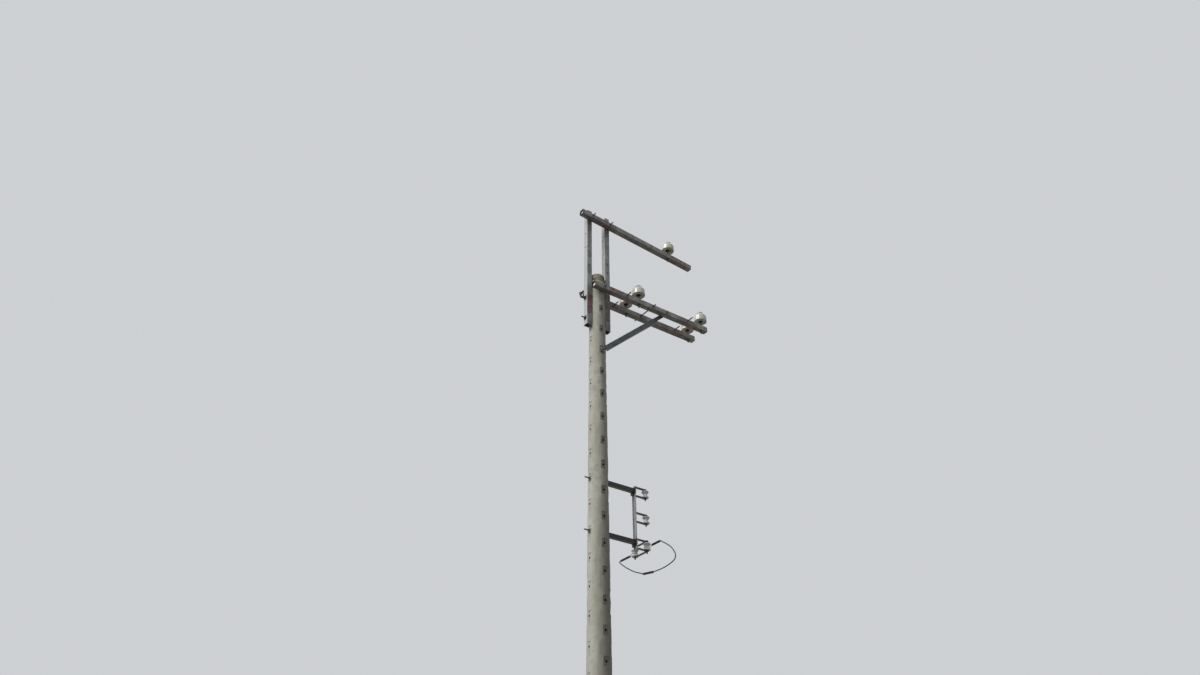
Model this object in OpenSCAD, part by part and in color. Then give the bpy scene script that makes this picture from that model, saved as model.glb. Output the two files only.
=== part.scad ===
/* [Pole] */
// Height of the concrete shaft above the ground, without its cap
shaft_h = 8730; // [8700:10:8760]
// Diameter of the shaft at its top
shaft_top_d = 190; // [186:1:194]
// Length over which the shaft grows by one unit in diameter
taper_run = 75; // [70:1:80]
// Thickness of the spun concrete wall
wall_t = 50; // [40:1:60]
// Height of the solid foot under the hollow core
foot_h = 150; // [100:10:300]
// Height of the mortar cap
cap_h = 128; // [60:2:140]

/* [Bolt holes] */
// Diameter of the cross holes through the shaft
pole_hole_d = 22; // [20:1:24]
// Height of the highest hole that runs to and fro under the arms
first_y_hole_z = 8600; // [8600:1:8600]
// Distance between one hole and the next of the same direction
hole_pitch = 300; // [300:1:300]
// Number of holes in each of the two directions
hole_count = 23; // [12:1:23]
// Width of the flat washer seat round each hole
seat_w = 72; // [60:1:76]
// Height of the flat washer seat, which also takes an arm
seat_h = 100; // [96:1:104]
// Diameter of every bolt
bolt_d = 16; // [14:1:18]
// Diameter of the bolt holes in the steelwork
steel_hole_d = 18; // [18:0.5:20]

/* [Arms and raisers] */
// Length of each square tube, arm or raiser
member_l = 1800; // [1780:10:1830]
// Outer width of the square tube
tube_w = 75; // [75:1:75]
// Wall thickness of the square tube
tube_t = 3.2; // [2.5:0.1:5]
// Outer corner radius of the square tube
tube_r = 8; // [6:0.5:10]
// How far the lower arms reach past the pole on their short side
arm_back = 142; // [130:2:180]
// Height of the bottom end of the raisers
raiser_z = 8052; // [8020:4:8060]
// Height of the middle of the top arm over the pole
top_arm_z = 9705; // [9680:1:9730]
// How far the top arm dips towards its long end, in degrees
top_arm_dip = 3.9; // [0:0.1:4]
// How far the top arm reaches past the pole on its short side
top_arm_back = 293; // [280:1:330]
// Place of the tie bolt along the lower arms
tie_x = 753; // [720:1:770]
// How far the far arm's fittings lie behind those of the near arm
far_back = 12; // [0:1:30]
// Tail of the inner short bolts in the lower arms
inner_bolt_tail = 85; // [40:5:120]
// Tail of the outer short bolts in the lower arms
outer_bolt_tail = 105; // [40:5:120]
// How far the end plugs of the arms sit inside the tubes
plug_in = 20; // [5:1:40]

/* [Insulators] */
// Widest diameter of the porcelain skirt
skirt_d = 168; // [164:1:176]
// Height of the porcelain
insulator_h = 150; // [146:1:160]
// Height of the porcelain rim above the arm
rim_gap = 72; // [50:1:80]
// Place of the inner insulators along the lower arms
inner_pin_x = 555; // [530:5:580]
// Place of the outer insulators along the lower arms
outer_pin_x = 1582; // [1550:1:1590]
// Place of the single insulator along the top arm
top_pin_x = 1127; // [1100:1:1150]

/* [Brace] */
// Width of the legs of the angle bar
brace_w = 65; // [56:1:70]
// Width of its two ends, where one leg is cut away
brace_end_w = 50; // [44:1:52]
// Thickness of the angle bar
brace_t = 6; // [5:0.5:6]
// Place along the near arm where the brace is bolted
brace_head_x = 979; // [960:1:1020]

/* [Low voltage rack] */
// Width of the square bracket tubes
bracket_w = 50; // [48:1:52]
// Distance of the back bar from the middle of the pole
bar_x = 478; // [470:1:490]
// Depth of the channel that forms the back bar
bar_depth = 18; // [12:1:24]
// Distance between one spool and the next
spool_pitch = 305; // [300:1:310]
// Distance of the spools from the middle of the pole
spool_x = 645; // [645:1:645]
// Diameter of the spools
spool_d = 84; // [78:1:90]
// Height of the spools
spool_h = 82; // [76:1:94]
// Clear gap between the two prongs that hold a spool
prong_gap = 96; // [96:1:100]
// Place of the second spool along its link
link_l = 215; // [190:5:230]

/* [Jumper] */
// Diameter of the jumper cable
jumper_d = 12; // [10:1:14]

/* [Hidden] */
$fn = 48;

// Colours
CONCRETE = "#a09c8e";
MORTAR = "#7f735f";
GALVANISED = "#6f706b";
RUSTY = "#5f4f48";
DARK_STEEL = "#4c4f4b";
BAR_STEEL = "#a7aaa8";
PORCELAIN = "#d7d8cb";
BLACK = "#1d1e20";

// Steel thicknesses and bolt sizes
head_d = 27;
head_h = 10;
nut_h = 13;
washer_w = 50;
washer_t = 5;
slack = 0.2;

// Places that follow from the driving dimensions
first_x_hole_z = first_y_hole_z - hole_pitch / 2;
arm_z = first_y_hole_z;
seat_y = seat_face(arm_z);
raiser_in = shaft_r(raiser_z) + 0.3;
raiser_x = raiser_in + tube_w / 2;
raiser_out = raiser_in + tube_w;
raiser_bolt_z = [first_x_hole_z, first_x_hole_z - hole_pitch];
brace_foot_z = first_y_hole_z - 3 * hole_pitch;
brace_spacer_t = 6;
rack_z = [first_x_hole_z - 8 * hole_pitch, first_x_hole_z - 10 * hole_pitch];
arm_bolt_x = [340, 1320];
top_arm_y = -tube_w;
spool_z = [for (i = [0:2]) rack_z[0] - i * spool_pitch];
spool_drop = (prong_gap - spool_h) / 2;
prong_w = 40;
prong_t = 6;
bar_w = 50;
bar_t = 4;
rod_d = 16;
pin_d = 20;
pin_hole_d = 22;
pin_socket_h = 96;
link_t = 6;
link_z = spool_z[2] - prong_gap / 2 - prong_t - link_t;
grip_d = 20;
grip_sag = 4;
near_grip_y = [-80, -232];
far_grip_y = [295, 482];
sleeve_ends = [[645, -90, 5128], [645, 78, 5155]];
sleeve_d = 20;

// Routes of the two jumper tails, from the grip to the sleeve
near_route = [
    [645, -232, 5429], [645, -246, 5424], [645, -260, 5414], [645, -274, 5403],
    [645, -297, 5388], [645, -320, 5373], [645, -342, 5357], [645, -364, 5340],
    [645, -385, 5323], [645, -404, 5305], [645, -421, 5287], [645, -435, 5269],
    [645, -449, 5250], [645, -460, 5231], [645, -468, 5213], [645, -471, 5197],
    [645, -470, 5182], [645, -464, 5168], [645, -453, 5157], [645, -438, 5149],
    [645, -415, 5142], [645, -390, 5136], [645, -362, 5131], [645, -333, 5127],
    [645, -302, 5124], [645, -270, 5122], [645, -206, 5122], [645, -143, 5125],
    [645, -115, 5127], [645, -90, 5128]
];
far_route = [
    [645, 482, 5423], [645, 491, 5423.5], [645, 496, 5422], [645, 500, 5418.5],
    [645, 501, 5413.5], [645, 500, 5409], [645, 497, 5405.5], [645, 489, 5399],
    [645, 472, 5385], [645, 455, 5371], [645, 432, 5353], [645, 409, 5336],
    [645, 384, 5318], [645, 358, 5301], [645, 330, 5283], [645, 302, 5265],
    [645, 275, 5249], [645, 247, 5233], [645, 220, 5219], [645, 192, 5206],
    [645, 165, 5194], [645, 137, 5182], [645, 110, 5170], [645, 94, 5161],
    [645, 78, 5155]
];

// Radius of the shaft at height z
function shaft_r(z) = (shaft_top_d + (shaft_h - z) / taper_run) / 2;
// Distance of a washer seat's flat from the axis at height z
function seat_face(z) = sqrt(pow(shaft_r(z), 2) - pow(seat_w / 2, 2));

// Square with round corners, centred
module round_square(w, r) {
    square([w, w - 2 * r], center = true);
    square([w - 2 * r, w], center = true);
    for (x = [-1, 1], y = [-1, 1])
        translate([x * (w / 2 - r), y * (w / 2 - r)]) circle(r, $fn = 24);
}

// Hollow square tube along +Z from the origin
module square_tube(l, w, t, r) {
    linear_extrude(l) difference() {
        round_square(w, r);
        round_square(w - 2 * t, r - t);
    }
}

// Lay children that run along +Z down along +X or +Y
module along_x() { rotate([0, 90, 0]) children(); }
module along_y() { rotate([-90, 0, 0]) children(); }

// Hexagonal head or nut of height h standing on the origin
module hexagon(h, d = head_d) { cylinder(h, d = d * 2 / sqrt(3), $fn = 6); }

// Square washer standing on the origin
module washer() {
    translate([-washer_w / 2, -washer_w / 2, 0]) cube([washer_w, washer_w, washer_t]);
}

// Bolt along +Z: head below z0, nut above z1, threaded tail past the nut
module through_bolt(z0, z1, tail) {
    translate([0, 0, z0 - washer_t - head_h]) cylinder(z1 - z0 + head_h + washer_t + tail, d = bolt_d);
    translate([0, 0, z0 - washer_t - head_h]) hexagon(head_h);
    translate([0, 0, z0 - washer_t]) washer();
    translate([0, 0, z1]) washer();
    translate([0, 0, z1 + washer_t]) hexagon(nut_h);
}

// Tapered hollow shaft with two sets of cross holes, each in its flat seats
module pole_shaft() {
    color(CONCRETE) difference() {
        cylinder(shaft_h, r1 = shaft_r(0), r2 = shaft_r(shaft_h), $fn = 96);
        translate([0, 0, foot_h])
            cylinder(shaft_h - foot_h, r1 = shaft_r(foot_h) - wall_t, r2 = shaft_r(shaft_h) - wall_t);
        for (i = [0:hole_count - 1]) {
            cross_hole(first_x_hole_z - i * hole_pitch, 0);
            cross_hole(first_y_hole_z - i * hole_pitch, 90);
        }
    }
}

// One through hole along X, turned by a, and its two washer seats
module cross_hole(z, a) {
    reach = shaft_r(0) + 10;
    rotate([0, 0, a]) translate([0, 0, z]) {
        translate([-reach, 0, 0]) along_x() cylinder(2 * reach, d = pole_hole_d);
        for (s = [0, 180]) rotate([0, 0, s])
            translate([seat_face(z), -seat_w, -seat_h / 2]) cube([60, 2 * seat_w, seat_h]);
    }
}

// Domed mortar cap with a spigot that plugs the hollow core
module pole_cap() {
    r = shaft_r(shaft_h);
    edge = 34;
    spigot_r = r - wall_t - slack;
    color(MORTAR) translate([0, 0, shaft_h]) rotate_extrude($fn = 96) polygon(concat(
        [[0, -60], [spigot_r, -60], [spigot_r, 0], [r - 2, 0], [r, 4]],
        [for (a = [0:10:80]) [r - edge + edge * cos(a), cap_h - 12 - edge + edge * sin(a)]],
        [[r - edge, cap_h - 12], [r - 55, cap_h - 4], [0, cap_h]]
    ));
}

// One raiser tube with its bolt holes and a row of spare holes
module raiser(side) {
    spare_side_z = [9250, 9470];
    spare_front_z = [8215, 8955, 9088];
    color(GALVANISED) difference() {
        translate([side * raiser_x, 0, raiser_z]) square_tube(member_l, tube_w, tube_t, tube_r);
        for (z = concat(raiser_bolt_z, spare_side_z))
            translate([side * (raiser_in - 1), 0, z])
                rotate([0, side * 90, 0]) cylinder(tube_w + 2, d = steel_hole_d);
        for (z = concat(spare_front_z, [top_arm_axis_z(side * raiser_x)]))
            translate([side * raiser_x, -tube_w / 2 - 1, z]) along_y() cylinder(tube_w + 2, d = steel_hole_d);
    }
}

// Height of the top arm's middle at x
function top_arm_axis_z(x) = top_arm_z - x * tan(top_arm_dip);

// Long bolt through both raisers and the pole, its tail on the short side of the arms
module raiser_bolt(z, tail) {
    color(DARK_STEEL) translate([0, 0, z]) rotate([0, -90, 0]) through_bolt(-raiser_out, raiser_out, tail);
}

// Angle eye nut screwed on the upper raiser bolt, its eye leaning up
module eye_nut() {
    ring_r = 28;
    bar_d = 11;
    neck = 20;
    lean = 43;
    color(DARK_STEEL) translate([-(raiser_out + washer_t + nut_h), 0, raiser_bolt_z[0]])
        rotate([0, -90, 0]) difference() {
            union() {
                cylinder(neck, d = 28);
                translate([0, 0, neck - 6]) rotate([0, lean, 0]) {
                    cylinder(bar_d + 3, d = 18);
                    translate([0, 0, bar_d + ring_r]) rotate([90, 0, 0])
                        rotate_extrude() translate([ring_r, 0]) circle(d = bar_d);
                }
            }
            translate([0, 0, -1]) cylinder(neck - 1, d = bolt_d + 2 * slack);
        }
}

// Place children in the frame of the dipping top arm
module on_top_arm() {
    translate([0, top_arm_y, top_arm_z]) rotate([0, top_arm_dip, 0]) children();
}

// Arm tube along +X from x0 with holes along Y and Z and a plug inside each end
module arm(x0, y_holes, z_holes) {
    plug_t = 3;
    for (x = [x0 + plug_in, x0 + member_l - plug_in - plug_t])
        translate([x, 0, 0]) along_x() linear_extrude(plug_t)
            round_square(tube_w - 2 * tube_t + 1, tube_r - tube_t);
    difference() {
        translate([x0, 0, 0]) along_x() square_tube(member_l, tube_w, tube_t, tube_r);
        for (x = y_holes)
            translate([x, -tube_w / 2 - 1, 0]) along_y() cylinder(tube_w + 2, d = steel_hole_d);
        for (x = z_holes)
            translate([x, 0, -tube_w / 2 - 1]) cylinder(tube_w + 2, d = pin_hole_d);
    }
}

top_bolt_x = raiser_x / cos(top_arm_dip);

module top_arm() {
    color(RUSTY) on_top_arm() arm(-top_arm_back, [-top_bolt_x, top_bolt_x, 830], [top_pin_x]);
}

// The two bolts that hold the top arm against the raisers
module top_arm_bolts() {
    color(DARK_STEEL) for (s = [-1, 1])
        translate([s * raiser_x, 0, top_arm_axis_z(s * raiser_x)]) rotate([90, 0, 0])
            through_bolt(-tube_w / 2, tube_w * 3 / 2, 60);
}

module near_arm() {
    color(RUSTY) translate([0, -seat_y - tube_w / 2, arm_z])
        arm(-arm_back, concat([0, tie_x, brace_head_x], arm_bolt_x), [inner_pin_x, outer_pin_x]);
}

module far_arm() {
    color(RUSTY) translate([0, seat_y + tube_w / 2, arm_z])
        arm(-arm_back, concat([0, tie_x], [for (x = arm_bolt_x) x - far_back]),
            [inner_pin_x - far_back, outer_pin_x - far_back]);
}

// Bolt through both lower arms at x, with equal tails
module pair_bolt(x, tail) {
    out = seat_y + tube_w;
    color(DARK_STEEL) translate([x, 0, arm_z]) rotate([90, 0, 0]) through_bolt(-out, out, tail);
}

// Tie bolt between the lower arms, with nuts inside and outside both arms
module arm_tie_bolt() {
    out = seat_y + tube_w;
    color(DARK_STEEL) translate([tie_x, 0, arm_z]) rotate([90, 0, 0]) {
        translate([0, 0, -out - 55]) cylinder(2 * out + 110, d = bolt_d);
        for (s = [0, 180]) rotate([s, 0, 0]) {
            translate([0, 0, out]) washer();
            translate([0, 0, out + washer_t]) hexagon(nut_h);
            translate([0, 0, seat_y - washer_t]) washer();
            translate([0, 0, seat_y - washer_t - nut_h]) hexagon(nut_h);
        }
    }
}

// Short bolts through one arm, tails towards -Y, set back along the arm
module arm_bolts(y, back) {
    color(DARK_STEEL) for (i = [0, 1])
        translate([arm_bolt_x[i] - back, y, arm_z]) rotate([90, 0, 0])
            through_bolt(-tube_w / 2, tube_w / 2, [inner_bolt_tail, outer_bolt_tail][i]);
}

// Angle brace from the pole's front to the inner face of the near arm, its ends cut down to one flat leg
module arm_brace() {
    foot_y = -seat_face(brace_foot_z) - brace_spacer_t;
    head_y = -seat_y + brace_t;
    l = norm([brace_head_x, arm_z - brace_foot_z]);
    upper = brace_end_w / 2;
    lower = upper - brace_w;
    inner = [[-80, foot_y], [50, foot_y], [brace_head_x - 50, head_y], [brace_head_x + 80, head_y]];
    color(DARK_STEEL) difference() {
        union() {
            intersection() {
                brace_plan(concat(inner, [for (i = [3:-1:0]) inner[i] - [0, brace_t]]));
                brace_side([
                    [-28, -upper], [45, -upper], [60, lower], [l - 190, lower], [l - 175, -upper],
                    [l + 28, -upper], [l + 28, upper], [-28, upper]
                ]);
            }
            intersection() {
                brace_plan([
                    inner[1] - [0, brace_t / 2], inner[2] - [0, brace_t / 2],
                    inner[2] + [0, brace_w - brace_t], inner[1] + [0, brace_w - brace_t]
                ]);
                brace_side([
                    [112, lower], [l - 190, lower], [l - 190, lower + brace_t], [112, lower + brace_t]
                ]);
            }
        }
        for (p = [[0, 0, brace_foot_z], [brace_head_x, 0, arm_z]])
            translate(p) rotate([90, 0, 0]) cylinder(200, d = steel_hole_d);
    }
}

// Upright prism over a plan of the brace
module brace_plan(points) {
    translate([0, 0, brace_foot_z - 100]) linear_extrude(arm_z - brace_foot_z + 200) polygon(points);
}

// Level prism over a side view of the brace, whose axis climbs from the foot bolt to the head bolt
module brace_side(points) {
    slope = atan2(arm_z - brace_foot_z, brace_head_x);
    translate([0, 50, brace_foot_z]) rotate([90, 0, 0]) rotate([0, 0, slope])
        linear_extrude(250) polygon(points);
}

// Bolt of the brace through the pole, with a thick washer behind the brace
module brace_foot_bolt() {
    face = seat_face(brace_foot_z);
    color(DARK_STEEL) translate([0, 0, brace_foot_z]) rotate([90, 0, 0]) {
        through_bolt(-face, face + brace_spacer_t + brace_t, 34);
        translate([-washer_w / 2, -washer_w / 2, face]) cube([washer_w, washer_w, brace_spacer_t]);
    }
}

module brace_head_bolt() {
    color(DARK_STEEL) translate([brace_head_x, 0, arm_z]) rotate([90, 0, 0])
        through_bolt(seat_y - brace_t, seat_y + tube_w, 31);
}

// Steel pin of an insulator, standing on the arm, its nut under the arm
module insulator_pin() {
    stem_top = rim_gap + pin_socket_h;
    color(BAR_STEEL) {
        rotate_extrude() polygon([
            [0, -tube_w - washer_t - nut_h - 18], [pin_d / 2, -tube_w - washer_t - nut_h - 18],
            [pin_d / 2, 0], [27, 0], [27, 6], [16, 10], [pin_d / 2, 22], [pin_d / 2, rim_gap + 50],
            [12.5, rim_gap + 56], [12.5, stem_top], [0, stem_top]
        ]);
        translate([0, 0, -tube_w - washer_t]) washer();
        translate([0, 0, -tube_w - washer_t - nut_h]) hexagon(nut_h, 32);
    }
}

// Porcelain pin insulator: broad shouldered bell, head with a tie groove and a top wire groove
module insulator() {
    r = skirt_d / 2;
    h = insulator_h;
    shoulder_r = 58;
    shoulder_z = 60;
    bore_r = 13;
    mouth_r = 26;
    color(PORCELAIN) translate([0, 0, rim_gap]) difference() {
        rotate_extrude($fn = 72) polygon(concat(
            [[bore_r, 58], [mouth_r - 6, 54], [mouth_r, 46], [mouth_r, 12]],
            [[mouth_r + 2, 8], [mouth_r + 7, 7], [mouth_r + 11, 11], [46, 17], [62, 16], [r - 12, 8]],
            [for (a = [180:30:360]) [r - 5 + 5 * cos(a), 5 + 5 * sin(a)]],
            [for (a = [0:12:72]) [r - shoulder_r + shoulder_r * cos(a), shoulder_z + shoulder_r * sin(a)]],
            [[38, h - 31], [36, h - 27], [37, h - 22]],
            [for (a = [-40:20:60]) [33 + 9 * cos(a), h - 14 + 9 * sin(a)]],
            [[28, h - 4], [16, h - 1], [0, h], [0, pin_socket_h], [bore_r, pin_socket_h]]
        ));
        translate([0, -60, h + 2]) along_y() cylinder(120, r = 11);
    }
}

// Place a pin or an insulator on an arm
module at_near(x) { translate([x, -seat_y - tube_w / 2, arm_z + tube_w / 2]) children(); }
module at_far(x) { translate([x - far_back, seat_y + tube_w / 2, arm_z + tube_w / 2]) children(); }
module at_top() { on_top_arm() translate([top_pin_x, 0, tube_w / 2]) children(); }

// Square bracket tube from the pole's flank to the back bar, with an end plate
module rack_bracket(z) {
    face = seat_face(z);
    plate_t = 6;
    color(DARK_STEEL) translate([face, 0, z]) difference() {
        union() {
            along_x() square_tube(bar_x - face, bracket_w, 4, 6);
            translate([bar_x - face - plate_t, -42, -48]) cube([plate_t, 84, 82]);
        }
        translate([bar_x - face - plate_t - 1, 0, 0]) along_x() cylinder(plate_t + 2, d = steel_hole_d);
    }
}

// Long bolt through pole, bracket and back bar
module rack_bolt(z) {
    color(DARK_STEEL) translate([0, 0, z]) rotate([0, -90, 0])
        through_bolt(-bar_x - bar_depth, seat_face(z), 70);
}

// Channel with its flanges on the brackets' end plates and its web outwards
module rack_back_bar() {
    bottom = spool_z[2] - 62;
    l = rack_z[0] + 48 - bottom;
    color(BAR_STEEL) translate([bar_x, 0, bottom]) difference() {
        translate([0, -bar_w / 2, 0]) cube([bar_depth, bar_w, l]);
        translate([-1, bar_t - bar_w / 2, -1]) cube([bar_depth - bar_t + 1, bar_w - 2 * bar_t, l + 2]);
        for (z = rack_z)
            translate([0, 0, z - bottom]) along_x() cylinder(bar_depth + 2, d = steel_hole_d);
    }
}

// One prong: flat strap with a round tip and a foot riveted on the web of the back bar
module prong(up) {
    tip = spool_x - bar_x - bar_depth;
    difference() {
        union() {
            translate([0, -prong_w / 2, 0]) cube([tip, prong_w, prong_t]);
            translate([tip, 0, 0]) cylinder(prong_t, d = prong_w);
            translate([0, -prong_w / 2, up ? 0 : -8]) cube([prong_t, prong_w, prong_t + 8]);
        }
        translate([tip, 0, -1]) cylinder(prong_t + 2, d = steel_hole_d);
    }
}

module rack_prongs() {
    color(DARK_STEEL) for (z = spool_z) translate([bar_x + bar_depth, 0, z]) {
        translate([0, 0, prong_gap / 2]) prong(true);
        translate([0, 0, -prong_gap / 2 - prong_t]) prong(false);
    }
}

// Upright rod with a head, from z0 to z1, and its round washer
module spool_rod(z0, z1) {
    translate([0, 0, z0]) cylinder(z1 - z0, d = rod_d);
    translate([0, 0, z1]) cylinder(9, d = 26);
}

module rack_rods() {
    out = prong_gap / 2 + prong_t;
    color(DARK_STEEL) for (i = [0:2]) translate([spool_x, 0, spool_z[i]])
        spool_rod(-out - (i == 2 ? 30 : 24), out + (i == 2 ? link_t : 0));
}

// Porcelain spool with a deep wire groove
module spool() {
    r = spool_d / 2;
    h = spool_h / 2;
    color(PORCELAIN) rotate_extrude($fn = 64) polygon(concat(
        [[rod_d / 2 + 1, -h], [r - 10, -h]],
        [for (a = [-90:30:60]) [r - 8 + 8 * cos(a), -h + 8 + 8 * sin(a)]],
        [for (a = [-60:20:60]) [r + 4 - 22 * cos(a), 22 * sin(a)]],
        [for (a = [-60:30:90]) [r - 8 + 8 * cos(a), h - 8 + 8 * sin(a)]],
        [[r - 10, h], [rod_d / 2 + 1, h]]
    ));
}

// Spool number i, resting on its lower prong
module rack_spool(i) { translate([spool_x, 0, spool_z[i] - spool_drop]) spool(); }

// Pair of straps that carry the second spool behind the lowest one
module spool_link() {
    color(DARK_STEEL) for (z = [link_z, spool_z[2] + prong_gap / 2 + prong_t])
        translate([spool_x, 0, z]) difference() {
            union() {
                translate([-16, 0, 0]) cube([32, link_l, link_t]);
                for (y = [0, link_l]) translate([0, y, 0]) cylinder(link_t, d = 32);
            }
            for (y = [0, link_l]) translate([0, y, -1]) cylinder(link_t + 2, d = steel_hole_d);
        }
}

link_spool_z = link_z + link_t + spool_h / 2;

module link_rod() {
    top = spool_z[2] + prong_gap / 2 + prong_t + link_t;
    color(DARK_STEEL) {
        translate([spool_x, link_l, 0]) spool_rod(link_z - 24, top);
        translate([spool_x, link_l, link_spool_z + spool_h / 2])
            cylinder(top - link_t - link_spool_z - spool_h / 2, d = 34);
    }
}

// Dead end grip along Y: a bail round the spool's groove and a covered body
module grip(spool_y, ends, z) {
    dir = sign(ends[1] - ends[0]);
    neck_r = spool_d / 2 - 18;
    bail_d = 8;
    bail_r = neck_r + bail_d / 2 + 3 * slack;
    color(BLACK) translate([spool_x, 0, z]) {
        translate([0, spool_y, 0]) rotate([0, 0, dir > 0 ? 180 : 0])
            rotate_extrude(angle = 180) translate([bail_r, 0]) circle(d = bail_d, $fn = 16);
        for (s = [-1, 1])
            translate([s * bail_r, min(spool_y, ends[0]), 0]) along_y()
                cylinder(abs(ends[0] - spool_y), d = bail_d, $fn = 16);
        translate([0, ends[0], 0]) along_y() translate([0, 0, -5])
            linear_extrude(10) square([2 * bail_r + bail_d, grip_d - 4], center = true);
        translate([0, min(ends[0], ends[1]), 0]) along_y()
            cylinder(abs(ends[1] - ends[0]), d = grip_d);
    }
}

module near_grip() { grip(0, near_grip_y, spool_z[2] - spool_drop - grip_sag); }
module far_grip() { grip(link_l, far_grip_y, link_spool_z - grip_sag); }

// Tube of n sides swept along points, closed at both ends
module swept_tube(path, d, n = 8) {
    m = len(path);
    function tangent(i) = let (a = path[max(i - 1, 0)], b = path[min(i + 1, m - 1)]) (b - a) / norm(b - a);
    function side(t) = let (v = cross(t, [1, 0, 0])) v / norm(v);
    rings = [for (i = [0:m - 1]) let (t = tangent(i), v = side(t))
        for (k = [0:n - 1]) path[i] + d / 2 * (cos(360 * k / n) * [1, 0, 0] + sin(360 * k / n) * v)];
    walls = [for (i = [0:m - 2], k = [0:n - 1])
        [i * n + k, i * n + (k + 1) % n, (i + 1) * n + (k + 1) % n, (i + 1) * n + k]];
    first = [for (k = [n - 1:-1:0]) k];
    last = [for (k = [0:n - 1]) (m - 1) * n + k];
    polyhedron(rings, concat(walls, [first], [last]), convexity = 6);
}

module near_jumper() { color(BLACK) swept_tube(near_route, jumper_d); }
module far_jumper() { color(BLACK) swept_tube(far_route, jumper_d); }

// Compression sleeve that joins the two jumper tails
module jumper_sleeve() {
    run = sleeve_ends[1] - sleeve_ends[0];
    color(BLACK) translate(sleeve_ends[0]) rotate([atan2(run[2], run[1]), 0, 0]) along_y()
        cylinder(norm(run), d = sleeve_d);
}

pole_shaft();
pole_cap();
raiser(-1);  // raiser_left
raiser(1);  // raiser_right
raiser_bolt(raiser_bolt_z[0], 32);  // raiser_upper_bolt
raiser_bolt(raiser_bolt_z[1], 58);  // raiser_lower_bolt
eye_nut();
top_arm();
top_arm_bolts();
near_arm();
far_arm();
pair_bolt(0, 40);  // arm_pole_bolt
arm_tie_bolt();
arm_bolts(-seat_y - tube_w / 2, 0);  // near_arm_bolts
arm_bolts(seat_y + tube_w / 2, far_back);  // far_arm_bolts
arm_brace();
brace_foot_bolt();
brace_head_bolt();
at_top() insulator_pin();  // top_pin
at_near(inner_pin_x) insulator_pin();  // near_inner_pin
at_near(outer_pin_x) insulator_pin();  // near_outer_pin
at_far(inner_pin_x) insulator_pin();  // far_inner_pin
at_far(outer_pin_x) insulator_pin();  // far_outer_pin
at_top() insulator();  // top_insulator
at_near(inner_pin_x) insulator();  // near_inner_insulator
at_near(outer_pin_x) insulator();  // near_outer_insulator
at_far(inner_pin_x) insulator();  // far_inner_insulator
at_far(outer_pin_x) insulator();  // far_outer_insulator
rack_bracket(rack_z[0]);  // rack_upper_bracket
rack_bracket(rack_z[1]);  // rack_lower_bracket
rack_bolt(rack_z[0]);  // rack_upper_bolt
rack_bolt(rack_z[1]);  // rack_lower_bolt
rack_back_bar();
rack_prongs();
rack_rods();
rack_spool(0);  // upper_spool
rack_spool(1);  // middle_spool
rack_spool(2);  // lower_spool
spool_link();
link_rod();
translate([spool_x, link_l, link_spool_z]) spool();  // link_spool
near_grip();
far_grip();
near_jumper();
far_jumper();
jumper_sleeve();
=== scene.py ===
"""Looks of a spun concrete utility pole with steel side arms, pin insulators and a low voltage rack."""
import logging
import math
from dataclasses import dataclass
from enum import Enum
from typing import Callable, Iterable, Iterator, Optional, Sequence, Union

import bmesh
import bpy
from mathutils import Matrix, Vector, noise


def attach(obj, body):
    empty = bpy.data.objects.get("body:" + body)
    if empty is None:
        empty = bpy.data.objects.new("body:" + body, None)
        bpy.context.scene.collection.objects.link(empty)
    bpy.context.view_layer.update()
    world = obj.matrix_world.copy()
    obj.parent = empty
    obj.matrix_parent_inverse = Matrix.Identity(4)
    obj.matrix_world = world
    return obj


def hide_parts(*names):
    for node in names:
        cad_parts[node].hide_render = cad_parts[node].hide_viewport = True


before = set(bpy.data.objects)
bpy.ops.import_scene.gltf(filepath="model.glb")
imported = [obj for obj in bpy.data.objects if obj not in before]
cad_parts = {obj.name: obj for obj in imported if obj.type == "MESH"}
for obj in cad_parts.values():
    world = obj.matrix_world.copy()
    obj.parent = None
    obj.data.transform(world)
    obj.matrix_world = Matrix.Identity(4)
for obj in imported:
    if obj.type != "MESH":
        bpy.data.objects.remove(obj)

LOG = logging.getLogger("pole")
Color = tuple[float, float, float]
Flat = tuple[float, float]
Socket = bpy.types.NodeSocket
Value = Union[float, Socket]
Ring = list[bmesh.types.BMVert]
Radius = Callable[[float, float], float]
ROOT = "root"
MM = 0.001
TURN = 2 * math.pi
UP = Matrix.Identity(4)
TO_MINUS_X = Matrix.Rotation(-TURN / 4, 4, "Y")
TO_MINUS_Y = Matrix.Rotation(TURN / 4, 4, "X")
# Radius in metres under which a ring is a single point
POINT = 1e-6
# Steps across a rounded edge and how full it is
EDGE_STEPS = 2
EDGE_FULLNESS = 0.6
# Angle in radians between two faces from which on they meet at the rim of a plate
RIM_ANGLE = 1.0
# Hexagon nuts: steps round them, share of the width that stays flat, slope of the chamfer, countersink
NUT_STEPS = 48
NUT_FLAT_SHARE = 0.97
NUT_CHAMFER = math.radians(30)
COUNTERSINK = 1.2 * MM
# Sockets of the mix node for colours
MIX_AMOUNT = 0
MIX_BASE = 6
MIX_TOP = 7
MIX_RESULT = 2


class Run(Enum):
    """Direction that a tube runs in, by the number of its axis."""

    ACROSS = 0
    UPRIGHT = 2


class Slot(Enum):
    """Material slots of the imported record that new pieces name."""

    MORTAR = "mortar"
    BOLT_STEEL = "bolt_steel"
    DARK_STEEL = "dark_steel"
    PORCELAIN = "porcelain"
    SPOOL_PORCELAIN = "spool_porcelain"
    GRIP_COVER = "grip_cover"
    CABLE_SHEATH = "cable_sheath"


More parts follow.
